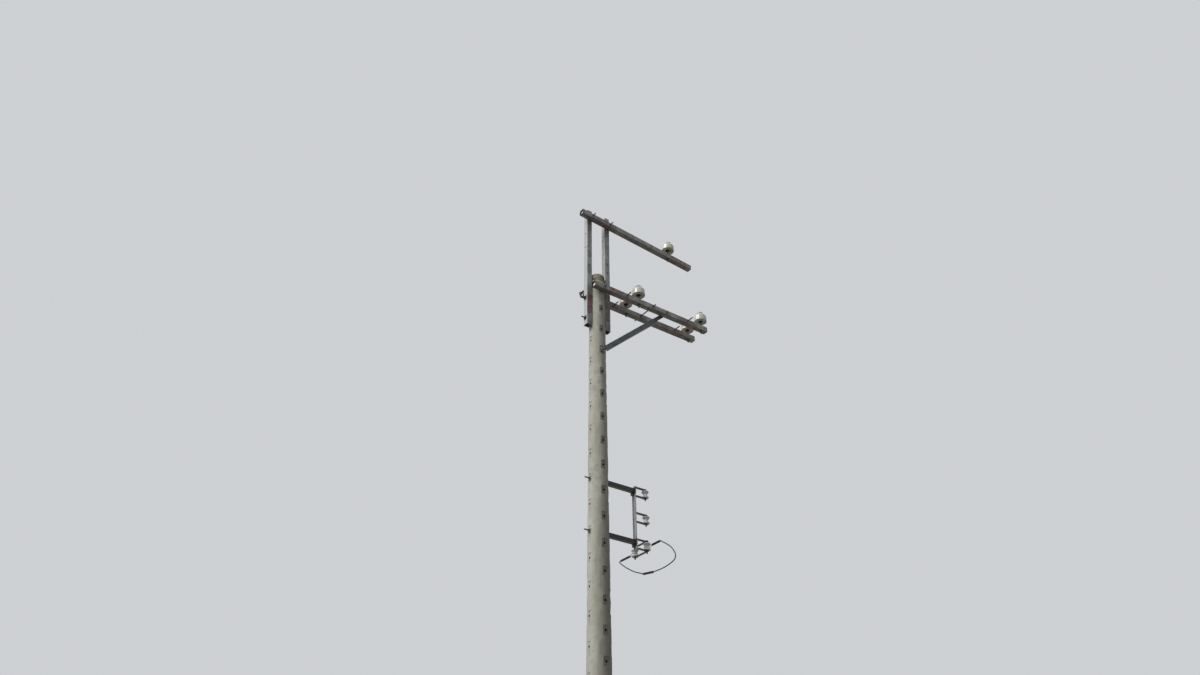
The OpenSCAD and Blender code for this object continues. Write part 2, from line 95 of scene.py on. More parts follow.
@dataclass(frozen=True)
class PoleSizes:
    """Driving sizes of the pole and its steelwork, in metres."""

    shaft_height: float = 8.730
    shaft_top_radius: float = 0.095
    taper: float = 1 / 150
    cap_height: float = 0.128
    wall: float = 0.050
    hole_radius: float = 0.011
    hole_pitch: float = 0.300
    first_hole_along_y: float = 8.600
    seat_width: float = 0.072
    tube: float = 0.075
    raiser_foot: float = 8.052
    top_arm_height: float = 9.705
    top_arm_dip: float = math.radians(3.9)
    far_back: float = 0.012

    @property
    def first_hole_along_x(self) -> float:
        """Height of the highest hole that runs along the arms."""
        return self.first_hole_along_y - self.hole_pitch / 2

    @property
    def arm_height(self) -> float:
        """Height of the middle of both lower arms."""
        return self.first_hole_along_y

    @property
    def seat_y(self) -> float:
        """Distance of the lower arms' inner faces from the axis."""
        return self.seat_face(self.arm_height)

    @property
    def raiser_inner(self) -> float:
        """Distance of the raisers' inner faces from the axis."""
        return self.shaft_radius(self.raiser_foot) + 0.3 * MM

    @property
    def raiser_middle(self) -> float:
        """Distance of the raisers' middles from the axis."""
        return self.raiser_inner + self.tube / 2

    @property
    def raiser_outer(self) -> float:
        """Distance of the raisers' outer faces from the axis."""
        return self.raiser_inner + self.tube

    def shaft_radius(self, z: float) -> float:
        """Radius of the shaft at height z."""
        return self.shaft_top_radius + (self.shaft_height - z) * self.taper

    def seat_face(self, z: float) -> float:
        """Distance of a washer seat's flat from the axis at height z."""
        return math.sqrt(self.shaft_radius(z) ** 2 - (self.seat_width / 2) ** 2)

    def top_arm_at(self, x: float) -> float:
        """Height of the middle of the dipping top arm at x."""
        return self.top_arm_height - x * math.tan(self.top_arm_dip)

    def on_top_arm(self) -> Matrix:
        """Frame of the dipping top arm."""
        turn = Matrix.Rotation(self.top_arm_dip, 4, "Y")
        return at(0, -self.tube, self.top_arm_height) @ turn


SIZES = PoleSizes()


def arc(centre: Flat, radius: float, start: float, stop: float, count: int) -> list[Flat]:
    """Points along an arc of a profile, in count equal steps between two angles in degrees."""
    angles = [math.radians(start + (stop - start) * i / count) for i in range(count + 1)]
    return [(centre[0] + radius * math.cos(a), centre[1] + radius * math.sin(a)) for a in angles]


def circle(centre: Flat, radius: float, count: int = 24) -> list[Flat]:
    """Evenly spaced points round a whole circle of a profile."""
    return arc(centre, radius, 0, 360 - 360 / count, count - 1)


def in_metres(points: Iterable[Flat]) -> list[Flat]:
    """Profile points brought from millimetres to metres."""
    return [(r * MM, z * MM) for r, z in points]


def smooth_path(points: Sequence[Sequence[float]], steps: int) -> list[Vector]:
    """Dense points on the smooth curve through a route's own points.

    Args:
        points: The route, point by point.
        steps: Number of points made between two of the route's own.

    Returns:
        The dense points, ends included.
    """
    route = [Vector(p) for p in points]
    ends = [2 * route[0] - route[1]] + route + [2 * route[-1] - route[-2]]
    dense = []
    for a, b, c, d in zip(ends, ends[1:], ends[2:], ends[3:]):
        for i in range(steps):
            t = i / steps
            dense.append(0.5 * (2 * b + (c - a) * t + (2 * a - 5 * b + 4 * c - d) * t * t
                                + (3 * b - a - 3 * c + d) * t ** 3))
    return dense + [route[-1]]


def at(x: float, y: float, z: float) -> Matrix:
    """Frame moved to a point."""
    return Matrix.Translation((x, y, z))


def run_length(points: Sequence[Vector]) -> float:
    """Length of a line through points."""
    return sum((b - a).length for a, b in zip(points, points[1:]))


class Shape:
    """A mesh in the making, in metres in the pole's own frame."""

    def __init__(self) -> None:
        """Start an empty mesh."""
        self.bm = bmesh.new()

    def ring(self, points: Iterable[Vector]) -> Ring:
        """Vertices at the given points."""
        return [self.bm.verts.new(p) for p in points]

    def bridge(self, a: Ring, b: Ring) -> None:
        """Faces between two rings of one size, or between a ring and a single point.

        Args:
            a: First ring.
            b: Second ring.
        """
        if len(a) == 1 and len(b) == 1:
            return
        n = max(len(a), len(b))
        for i in range(n):
            j = (i + 1) % n
            corners = [a[i % len(a)], a[j % len(a)], b[j % len(b)], b[i % len(b)]]
            unique = list(dict.fromkeys(corners))
            if len(unique) > 2:
                self.bm.faces.new(unique)

    def skin(self, rings: Sequence[Ring], closed: bool = False) -> None:
        """Faces along a row of rings.

        Args:
            rings: The rings in order.
            closed: Whether the last ring meets the first, else both ends get a flat cap.
        """
        for a, b in zip(rings, rings[1:]):
            self.bridge(a, b)
        if closed:
            self.bridge(rings[-1], rings[0])
            return
        for end in (rings[0], rings[-1]):
            if len(end) > 2:
                self.bm.faces.new(end)

    def lathe(self, profile: Sequence[Flat], place: Matrix, segments: int, closed: bool = False) -> None:
        """A body turned round the local Z axis.

        Args:
            profile: Radius and height of each ring.
            place: Where the body stands.
            segments: Number of steps round it.
            closed: Whether the profile is a loop clear of the axis.
        """
        rings = []
        for r, z in profile:
            count = segments if r > POINT else 1
            angles = [TURN * i / count for i in range(count)]
            rings.append(self.ring(place @ Vector((r * math.cos(a), r * math.sin(a), z)) for a in angles))
        self.skin(rings, closed)

    def tube(self, path: Sequence[Vector], radius: Union[float, Radius], sides: int) -> None:
        """A round body along a path, with flat ends.

        Args:
            path: Points of its middle line.
            radius: Its radius, or a function of the way along and the angle round.
            sides: Number of steps round it.
        """
        size = radius if callable(radius) else (lambda s, a: radius)
        across = (path[1] - path[0]).orthogonal().normalized()
        rings, way = [], 0.0
        for i, p in enumerate(path):
            ahead = (path[min(i + 1, len(path) - 1)] - path[max(i - 1, 0)]).normalized()
            across = (across - ahead * across.dot(ahead)).normalized()
            other = ahead.cross(across)
            way += (p - path[i - 1]).length if i else 0.0
            rings.append(self.ring(
                p + size(way, a) * (math.cos(a) * across + math.sin(a) * other)
                for a in (TURN * k / sides for k in range(sides))))
        self.skin(rings)

    def hexagon(self, across: float, bottom: float, top: float, place: Matrix, bore: float = 0.0) -> None:
        """A hexagon nut or head with turned chamfers on both sides.

        Args:
            across: Width over two flats.
            bottom: Height of its lower side.
            top: Height of its upper side.
            place: Frame whose Z is its axis.
            bore: Radius of the countersink that its upper side shows round a bolt, or 0 for none.
        """
        face = across / 2 * NUT_FLAT_SHARE
        angles = [TURN * k / NUT_STEPS for k in range(NUT_STEPS)]
        corner = [across / 2 / math.cos(a % (TURN / 6) - TURN / 12) for a in angles]
        drop = [max(r - face, 0) * math.tan(NUT_CHAMFER) for r in corner]
        rows = [
            [(min(r, face), bottom) for r in corner],
            [(r, bottom + d) for r, d in zip(corner, drop)],
            [(r, top - d) for r, d in zip(corner, drop)],
            [(min(r, face), top) for r in corner],
        ]
        if bore:
            rows.append([(bore, top)] * NUT_STEPS)
            rows.append([(bore - COUNTERSINK, top - COUNTERSINK)] * NUT_STEPS)
        self.skin([self.ring(place @ Vector((r * math.cos(a), r * math.sin(a), z))
                             for a, (r, z) in zip(angles, row)) for row in rows])

    def round_edges(self, edges: Iterable[bmesh.types.BMEdge], bevel: float) -> None:
        """Round edges, each once and in the order given."""
        bmesh.ops.bevel(self.bm, geom=list(dict.fromkeys(edges)), offset=bevel, segments=EDGE_STEPS,
                        profile=EDGE_FULLNESS, affect="EDGES")

    def block(self, low: Sequence[float], high: Sequence[float], place: Matrix, bevel: float) -> None:
        """A flat-sided block with rounded edges.

        Args:
            low: Lowest corner.
            high: Highest corner.
            place: Frame of the corners.
            bevel: Width of the rounded edges.
        """
        size = Vector(high) - Vector(low)
        middle = (Vector(high) + Vector(low)) / 2
        matrix = place @ Matrix.Translation(middle) @ Matrix.Diagonal((*size, 1))
        verts = bmesh.ops.create_cube(self.bm, size=1, matrix=matrix)["verts"]
        self.round_edges((e for v in verts for e in v.link_edges), bevel)

    def plate(self, outline: Sequence[Flat], holes: Sequence[tuple[float, float, float]], thickness: float,
              place: Matrix, bevel: float) -> None:
        """A flat plate cut to an outline, with round holes and rounded edges.

        Args:
            outline: Points of the outline.
            holes: Centre and radius of each hole.
            thickness: Thickness along local +Z.
            place: Frame of the outline.
            bevel: Width of the rounded edges.
        """
        loops = [list(outline)] + [circle((x, y), r) for x, y, r in holes]
        edges = []
        for loop in loops:
            verts = self.ring(place @ Vector((x, y, 0)) for x, y in loop)
            edges += [self.bm.edges.new((a, b)) for a, b in zip(verts, verts[1:] + verts[:1])]
        filled = bmesh.ops.triangle_fill(self.bm, use_beauty=True, edges=edges)["geom"]
        faces = [f for f in filled if isinstance(f, bmesh.types.BMFace)]
        raised = bmesh.ops.extrude_face_region(self.bm, geom=faces)["geom"]
        verts = [v for v in raised if isinstance(v, bmesh.types.BMVert)]
        bmesh.ops.translate(self.bm, verts=verts, vec=place.to_3x3() @ Vector((0, 0, thickness)))
        top = [f for f in raised if isinstance(f, bmesh.types.BMFace)]
        skin = dict.fromkeys(faces + [f for v in verts for f in v.link_faces])
        bmesh.ops.recalc_face_normals(self.bm, faces=list(skin))
        rims = [e for f in faces + top for e in f.edges
                if len(e.link_faces) == 2 and e.calc_face_angle(0) > RIM_ANGLE]
        self.round_edges(rims, bevel)

    def move_points(self, mover: Callable[[Vector], Vector]) -> None:
        """Move every vertex to where the function puts it."""
        for v in self.bm.verts:
            v.co = mover(v.co)

    def finish(self, name: str, material: bpy.types.Material, slot: Slot, replaced: Sequence[str],
               crease: float = 38.0) -> bpy.types.Object:
        """Make the object, dress it and put it on the pole.

        Args:
            name: Name of the piece.
            material: Its finish.
            slot: Slot of the record that it takes its finish from.
            replaced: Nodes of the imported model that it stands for.
            crease: Angle in degrees over which an edge stays sharp.

        Returns:
            The finished object.
        """
        bmesh.ops.recalc_face_normals(self.bm, faces=self.bm.faces)
        mesh = bpy.data.meshes.new(name)
        self.bm.to_mesh(mesh)
        self.bm.free()
        mesh.materials.append(material)
        mesh.shade_smooth()
        mesh.set_sharp_from_angle(angle=math.radians(crease))
        piece = bpy.data.objects.new(name, mesh)
        return place_piece(piece, slot, replaced)


def place_piece(piece: bpy.types.Object, slot: Slot, replaced: Sequence[str]) -> bpy.types.Object:
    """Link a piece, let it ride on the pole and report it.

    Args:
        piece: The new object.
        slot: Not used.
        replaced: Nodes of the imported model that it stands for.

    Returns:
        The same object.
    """
    bpy.context.scene.collection.objects.link(piece)
    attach(piece, ROOT)
    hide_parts(*replaced)
    LOG.info("%s for %s", piece.name, ", ".join(replaced))
    return piece


class Graph:
    """Node graph of one finish, with a short call for each kind of node that the finishes share."""

    def __init__(self, name: str, specular: float, metallic: float = 0.0) -> None:
        """Start a material.

        Args:
            name: Name of the material.
            specular: Specular level of its shader.
            metallic: Metallic value of its shader.
        """
        self.material = bpy.data.materials.new(name)
        self.material.use_nodes = True
        self.tree = self.material.node_tree
        self.shader = self.tree.nodes["Principled BSDF"]
        self.shader.inputs["Metallic"].default_value = metallic
        self.shader.inputs["Specular IOR Level"].default_value = specular
        coordinates = self.tree.nodes.new("ShaderNodeTexCoord")
        self.place = coordinates.outputs["Object"]
        self.normal = coordinates.outputs["Normal"]

    def node(self, kind: str, inputs: dict, **settings: object) -> bpy.types.Node:
        """A node with its inputs fed by values or by other nodes.

        Args:
            kind: Type of the node without its prefix.
            inputs: Value or socket for each input, by name or number.
            **settings: Properties of the node.

        Returns:
            The new node.
        """
        made = self.tree.nodes.new("ShaderNode" + kind)
        for key, value in settings.items():
            setattr(made, key, value)
        for key, value in inputs.items():
            if isinstance(value, bpy.types.NodeSocket):
                self.tree.links.new(value, made.inputs[key])
            elif isinstance(value, tuple) and made.inputs[key].type == "RGBA":
                made.inputs[key].default_value = (*value, 1)
            else:
                made.inputs[key].default_value = value
        return made

    def math(self, operation: str, a: Value, b: Value = 0.0, c: Value = 0.0) -> Socket:
        """Result of one calculation on up to three numbers."""
        return self.node("Math", {0: a, 1: b, 2: c}, operation=operation).outputs[0]

    def times(self, *factors: Value) -> Socket:
        """Multiply values.

        Args:
            *factors: The values.

        Returns:
            Their product.
        """
        product = factors[0]
        for factor in factors[1:]:
            product = self.math("MULTIPLY", product, factor)
        return product

    def split(self, vector: Socket) -> tuple[Socket, Socket, Socket]:
        """The three parts of a vector."""
        return tuple(self.node("SeparateXYZ", {0: vector}).outputs)

    def stretch(self, factors: tuple[float, float, float]) -> Socket:
        """The place on the object with each direction scaled."""
        return self.node("VectorMath", {0: self.place, 1: factors}, operation="MULTIPLY").outputs[0]

    def noise(self, scale: float, detail: float = 4.0, roughness: float = 0.55, twist: float = 0.0,
              vector: Optional[Socket] = None) -> Socket:
        """Cloudy variation from 0 to 1.

        Args:
            scale: Features per metre.
            detail: Number of finer layers.
            roughness: Strength of the finer layers.
            twist: How far the pattern is distorted.
            vector: Coordinates, else the place on the object.

        Returns:
            The variation.
        """
        inputs = {"Vector": vector or self.place, "Scale": scale, "Detail": detail,
                  "Roughness": roughness, "Distortion": twist}
        return self.node("TexNoise", inputs).outputs["Fac"]

    def cells(self, scale: float) -> Socket:
        """Distance to the middle of the nearest random cell."""
        return self.node("TexVoronoi", {"Vector": self.place, "Scale": scale}).outputs["Distance"]

    def band(self, value: Value, low: float, high: float, to_low: float = 0.0,
             to_high: float = 1.0) -> Socket:
        """Soft step of a value, which gives to_low where it is low and to_high where it is high."""
        inputs = {"Value": value, "From Min": low, "From Max": high, "To Min": to_low, "To Max": to_high}
        return self.node("MapRange", inputs, interpolation_type="SMOOTHSTEP").outputs[0]

    def near(self, value: Value, middle: float, reach: float, core: float = 0.3) -> Socket:
        """1 round a middle for a share of the reach, falling to 0 at the reach on both sides."""
        return self.band(self.math("ABSOLUTE", self.math("SUBTRACT", value, middle)), reach, core * reach)

    def blend(self, amount: Value, base: Union[Color, Socket], top: Union[Color, Socket]) -> Socket:
        """Colour between base and top."""
        inputs = {MIX_AMOUNT: amount, MIX_BASE: base, MIX_TOP: top}
        return self.node("Mix", inputs, data_type="RGBA").outputs[MIX_RESULT]

    def relief(self, height: Socket, depth: float, strength: float = 1.0) -> None:
        """Bump the surface by a height of the given depth in metres."""
        bump = self.node("Bump", {"Height": height, "Distance": depth, "Strength": strength})
        self.tree.links.new(bump.outputs[0], self.shader.inputs["Normal"])

    def done(self, color: Socket, roughness: Socket) -> bpy.types.Material:
        """Connect the colour and the roughness.

        Args:
            color: Colour of the surface.
            roughness: Roughness of the surface.

        Returns:
            The finished material.
        """
        self.tree.links.new(color, self.shader.inputs["Base Color"])
        self.tree.links.new(roughness, self.shader.inputs["Roughness"])
        return self.material


@dataclass(frozen=True)
class ConcreteFinish:
    """Spun concrete, mottled and streaked, pitted by air, with dirt in and round the washer seats; painted
    shade darkens the side away from the lamp, the bores of the holes and the air pits.
    """

    pale: Color = (0.492, 0.485, 0.43)
    middle: Color = (0.425, 0.418, 0.364)
    olive: Color = (0.40, 0.40, 0.325)
    grime: Color = (0.22, 0.213, 0.185)
    seat_dirt: Color = (0.145, 0.14, 0.125)
    painted_bore_shade: Color = (0.018, 0.017, 0.016)
    # Colour and heights of the painted shade on the side away from the lamp
    painted_shade: Color = (0.215, 0.21, 0.182)
    painted_shade_heights: Flat = (7.3, 4.4)
    holes_above: float = 1.75
    splash_height: float = 0.55
    front_dirt: float = 0.85
    side_dirt: float = 0.16

    def material(self) -> bpy.types.Material:
        """Build the concrete of the shaft.

        Returns:
            The finished material.
        """
        g = Graph("spun_concrete", specular=0.25)
        x, _, z = g.split(g.place)
        clouds = g.noise(2.6, detail=5, twist=0.4)
        grain = g.noise(70, detail=6, roughness=0.7)
        color = g.blend(g.band(clouds, 0.36, 0.64), self.middle, self.pale)
        mottle = g.noise(17, detail=4, roughness=0.62)
        color = g.blend(g.band(mottle, 0.50, 0.72, 0.0, 0.42), color, self.grime)
        color = g.blend(g.band(mottle, 0.46, 0.30, 0.0, 0.40), color, self.pale)
        runs = g.noise(1.0, detail=4, vector=g.stretch((34, 34, 1.1)))
        color = g.blend(g.band(runs, 0.54, 0.74, 0.0, 0.5), color, self.grime)
        algae = g.times(g.band(x, 0.03, -0.08), g.band(g.noise(3.4, detail=5), 0.40, 0.62), 0.62)
        color = g.blend(algae, color, self.olive)
        speck = g.band(grain, 0.62, 0.74, 0.0, 0.55)
        color = g.blend(speck, color, self.grime)
        # Air pits: sunk by the bump, and darkened with painted shade inside them
        pits = g.band(g.cells(85), 0.20, 0.11)
        color = g.blend(g.times(pits, 0.6), color, self.seat_dirt)
        # Painted shade: darker on faces turned away from the lamp, more so lower down
        nx, _, _ = g.split(g.normal)
        painted_shade = g.times(g.band(nx, -0.97, -0.42), g.band(z, *self.painted_shade_heights, 0.13, 0.72),
                       g.band(clouds, 0.3, 0.6, 0.8, 1.0))
        color = g.blend(painted_shade, color, self.painted_shade)
        used = g.band(z, self.holes_above - 0.01, self.holes_above)
        color, edges = self.dress_holes(g, color, used, mottle)
        foot = g.times(g.band(z, self.splash_height, 0.0), g.band(clouds, 0.3, 0.6, 0.35, 0.85))
        color = g.blend(foot, color, self.grime)
        height = g.math("SUBTRACT", g.math("ADD", grain, g.times(mottle, 0.8)), g.times(pits, 1.3))
        g.relief(g.math("SUBTRACT", height, edges), 1.2 * MM, 0.9)
        return g.done(color, g.band(mottle, 0.3, 0.7, 0.78, 0.95))

    def dress_holes(self, g: Graph, color: Socket, used: Socket, mottle: Socket) -> tuple[Socket, Socket]:
        """Dirt, chips and runs round both rows of cross holes, and painted shade in their bores.

        Args:
            g: Graph of the concrete.
            color: Colour so far.
            used: 1 at the heights that have holes.
            mottle: Cloudy variation that breaks the marks up.

        Returns:
            The new colour, and the relief of the chips.
        """
        x, y, z = g.split(g.place)
        rows = ((SIZES.first_hole_along_y, x, self.front_dirt, self.seat_dirt),
                (SIZES.first_hole_along_x, y, self.side_dirt, self.pale))
        chips: Value = 0.0
        patches = g.noise(31, detail=3)
        for first, across, dirt, lip_color in rows:
            side = g.math("ABSOLUTE", across)
            up = g.math("WRAP", g.math("SUBTRACT", z, first), SIZES.hole_pitch / 2, -SIZES.hole_pitch / 2)
            away = g.math("SQRT", g.math("ADD", g.times(side, side), g.times(up, up)))
            wander = g.times(g.math("SUBTRACT", mottle, 0.5), 0.06)
            flat = g.times(g.band(g.math("ADD", side, wander), 0.041, 0.016),
                           g.band(g.math("ADD", g.math("ABSOLUTE", up), wander), 0.060, 0.030), used)
            patchy = g.band(patches, 0.36, 0.58, 0.45, 1.0)
            color = g.blend(g.times(flat, patchy, dirt), color, self.seat_dirt)
            under = g.times(g.band(side, 0.026, 0.004), g.band(up, -0.135, -0.02), g.band(up, 0.02, -0.01),
                            used)
            color = g.blend(g.times(under, g.band(mottle, 0.35, 0.6), 0.55), color, self.grime)
            lip = g.times(g.band(away, 0.021, 0.015), g.band(mottle, 0.40, 0.52), used)
            color = g.blend(g.times(lip, 0.7), color, lip_color)
            # Painted shade: the bores of the holes nearly black
            color = g.blend(g.times(g.band(away, 0.0128, 0.0112), used), color, self.painted_bore_shade)
            chips = g.math("ADD", chips, g.times(lip, 0.8))
        return color, chips


@dataclass(frozen=True)
class MortarFinish:
    """Rough mortar of the cap, brown with soot and pale lime."""

    brown: Color = (0.24, 0.20, 0.14)
    soot: Color = (0.065, 0.058, 0.048)
    lime: Color = (0.33, 0.315, 0.26)

    def material(self) -> bpy.types.Material:
        """Build the mortar.

        Returns:
            The finished material.
        """
        g = Graph("cap_mortar", specular=0.2)
        blotch = g.noise(26, detail=6, roughness=0.65, twist=0.8)
        grit = g.noise(240, detail=4, roughness=0.7)
        color = g.blend(g.band(blotch, 0.40, 0.60), self.brown, self.lime)
        color = g.blend(g.band(g.noise(13, detail=4), 0.50, 0.62, 0.0, 0.85), color, self.soot)
        color = g.blend(g.band(grit, 0.55, 0.75, 0.0, 0.45), color, self.soot)
        g.relief(g.math("ADD", grit, g.times(blotch, 1.5)), 2.0 * MM)
        return g.done(color, g.band(blotch, 0.3, 0.7, 0.82, 0.97))


@dataclass(frozen=True)
class Stretch:
    """A stretch of a tube where rust shows, by its middle and half length."""

    middle: float
    reach: float
    strength: float = 1.0


@dataclass(frozen=True)
class TubeFinish:
    """Galvanised square tube that has weathered, its zinc dull and spotted, with rust in places, and painted
    light: paler faces towards the lamp, lighter tops and darker undersides.
    """

    name: str
    zinc: Color
    dull: Color
    rust: Color
    lit_side_paint: Optional[Color] = None
    top: Optional[Color] = None
    under: Optional[Color] = None
    spangle: Color = (0.62, 0.63, 0.62)
    run: Run = Run.ACROSS
    stretches: Sequence[Stretch] = ()
    end: Optional[float] = None
    clean_from: float = 0.10
    clean_to: float = 0.07
    metallic: float = 0.15

    def material(self) -> bpy.types.Material:
        """Build the finish of one tube.

        Returns:
            The finished material.
        """
        g = Graph(self.name, metallic=self.metallic, specular=0.4)
        along = g.split(g.place)[self.run.value]
        nx, _, nz = g.split(g.normal)
        flow = (60, 60, 4) if self.run is Run.UPRIGHT else (4, 60, 60)
        blotch = g.noise(9, detail=5, roughness=0.6, twist=0.5)
        brushed = g.noise(1.0, detail=4, vector=g.stretch(flow))
        fine = g.noise(120, detail=5, roughness=0.7)
        color = g.blend(g.band(blotch, 0.36, 0.66), self.zinc, self.dull)
        color = g.blend(g.band(brushed, 0.42, 0.70, 0.0, 0.55), color, self.dull)
        crystals = g.band(g.cells(150), 0.1, 0.7, 0.0, 0.16)
        color = g.blend(crystals, color, self.spangle)
        # Painted highlight on the upward faces
        if self.top:
            color = g.blend(g.times(g.band(nz, 0.2, 0.7), 0.8), color, self.top)
        # Painted shade on the downward faces
        if self.under:
            color = g.blend(g.times(g.band(nz, -0.3, -0.8), 0.5), color, self.under)
        worn = g.band(fine, 0.45, 0.62)
        for stretch in self.stretches:
            here = g.near(along, stretch.middle, stretch.reach)
            patchy = g.band(blotch, 0.30, 0.56, 0.5, 1.0)
            flaky = g.band(worn, 0, 1, 0.55, 1)
            color = g.blend(g.times(here, patchy, flaky, stretch.strength), color, self.rust)
        spots = g.times(g.band(g.noise(42, detail=5, roughness=0.7), 0.60, 0.70), 0.75)
        color = g.blend(spots, color, self.rust)
        if self.end is not None:
            clean = g.band(along, self.end - self.clean_from, self.end - self.clean_to, 0, 0.5)
            color = g.blend(clean, color, self.zinc)
        # Painted highlight: faces turned towards the lamp on the -X side turn pale
        if self.lit_side_paint:
            pale = g.blend(g.band(blotch, 0.50, 0.75, 0.0, 0.35), self.lit_side_paint, self.zinc)
            pale = g.blend(g.band(fine, 0.66, 0.74, 0.0, 0.5), pale, self.dull)
            color = g.blend(g.band(g.math("MULTIPLY", nx, -1.0), 0.6, 0.9), color, pale)
        g.relief(g.math("ADD", fine, g.times(blotch, 0.5)), 0.35 * MM, 0.6)
        return g.done(color, g.band(blotch, 0.3, 0.7, 0.48, 0.72))


@dataclass(frozen=True)
class SteelFinish:
    """Weathered steel hardware with a dull coat, worn grain and rust specks."""

    name: str
    coat: Color
    worn: Color
    rust: Color = (0.17, 0.085, 0.05)
    rust_share: float = 0.30
    metallic: float = 0.35
    scale: float = 40.0

    def material(self) -> bpy.types.Material:
        """Build the finish of the hardware.

        Returns:
            The finished material.
        """
        g = Graph(self.name, metallic=self.metallic, specular=0.45)
        blotch = g.noise(self.scale, detail=5, roughness=0.62, twist=0.3)
        fine = g.noise(self.scale * 8, detail=4, roughness=0.7)
        color = g.blend(g.band(blotch, 0.40, 0.64), self.coat, self.worn)
        low = 0.72 - 0.35 * self.rust_share
        speck = g.band(g.noise(self.scale * 1.7, detail=6, roughness=0.72), low - 0.06, low + 0.04)
        color = g.blend(g.times(speck, 0.85), color, self.rust)
        color = g.blend(g.band(fine, 0.58, 0.75, 0.0, 0.3), color, self.worn)
        g.relief(g.math("ADD", fine, g.times(speck, 0.8)), 0.25 * MM, 0.7)
        return g.done(color, g.math("ADD", g.band(blotch, 0.3, 0.7, 0.38, 0.6), g.times(speck, 0.25)))


@dataclass(frozen=True)
class GlazeFinish:
    """Glazed porcelain, a little uneven, dusty above, darkened underneath by stain and painted shade, and
    stained in its grooves.
    """

    name: str
    glaze: Color
    tint: Color
    stain: Color
    shade_and_stain_share: float = 0.45
    coat: float = 0.35
    coat_roughness: float = 0.12

    def material(self) -> bpy.types.Material:
        """Build the glaze.

        Returns:
            The finished material.
        """
        g = Graph(self.name, specular=0.6)
        g.shader.inputs["Coat Weight"].default_value = self.coat
        g.shader.inputs["Coat Roughness"].default_value = self.coat_roughness
        _, _, nz = g.split(g.normal)
        cloud = g.noise(22, detail=4)
        runs = g.noise(1.0, detail=4, vector=g.stretch((130, 130, 14)))
        fine = g.noise(300, detail=3)
        color = g.blend(g.band(cloud, 0.38, 0.66), self.glaze, self.tint)
        # Downward faces darker: partly stain, partly painted shade
        under = g.times(g.band(nz, 0.05, -0.75), g.band(cloud, 0.2, 0.7, 0.75, 1.0), self.shade_and_stain_share)
        color = g.blend(under, color, self.stain)
        color = g.blend(g.band(runs, 0.56, 0.74, 0.0, 0.45), color, self.stain)
        dots = g.band(g.cells(260), 0.16, 0.08, 0.0, 0.5)
        color = g.blend(dots, color, self.stain)
        g.relief(g.math("ADD", cloud, g.times(fine, 0.15)), 0.6 * MM, 0.5)
        return g.done(color, g.math("ADD", g.band(fine, 0.3, 0.7, 0.14, 0.26), g.times(under, 0.25)))


@dataclass(frozen=True)
class SheathFinish:
    """Black plastic or rubber that has greyed in the sun, with dust and fine scratches."""

    name: str
    black: Color
    faded: Color
    roughness: float = 0.45

    def material(self) -> bpy.types.Material:
        """Build the sheath.

        Returns:
            The finished material.
        """
        g = Graph(self.name, specular=0.4)
        _, _, nz = g.split(g.normal)
        cloud = g.noise(60, detail=5, roughness=0.6)
        fine = g.noise(700, detail=3, roughness=0.6)
        color = g.blend(g.band(cloud, 0.42, 0.72, 0.0, 0.6), self.black, self.faded)
        color = g.blend(g.times(g.band(nz, 0.1, 0.9), g.band(fine, 0.35, 0.65, 0.2, 0.6)), color, self.faded)
        g.relief(g.math("ADD", fine, cloud), 0.12 * MM, 0.7)
        return g.done(color, g.band(cloud, 0.3, 0.7, self.roughness - 0.08, self.roughness + 0.14))


# Colours of the zinc and the rust on the square tubes, with the painted highlights of their lit sides and
# tops and the painted shade of their undersides
RUST = (0.165, 0.088, 0.08)
ARM_RUST = (0.175, 0.098, 0.086)
ARM_ZINC = (0.385, 0.375, 0.355)
ARM_DULL = (0.178, 0.171, 0.155)
TOP_ARM_ZINC = (0.325, 0.32, 0.312)
FAR_ARM_ZINC = (0.335, 0.322, 0.305)
ARM_UNDER_PAINTED_SHADE = (0.075, 0.07, 0.056)
ARM_TOP_PAINTED_LIGHT = (0.47, 0.44, 0.455)
SHADE_ZINC = (0.325, 0.345, 0.355)
SHADE_DULL = (0.185, 0.19, 0.195)
LEFT_RAISER_LIT_PAINT = (0.44, 0.455, 0.445)
RIGHT_RAISER_LIT_PAINT = (0.50, 0.515, 0.505)
ARM_END_LIT_PAINT = (0.86, 0.84, 0.80)


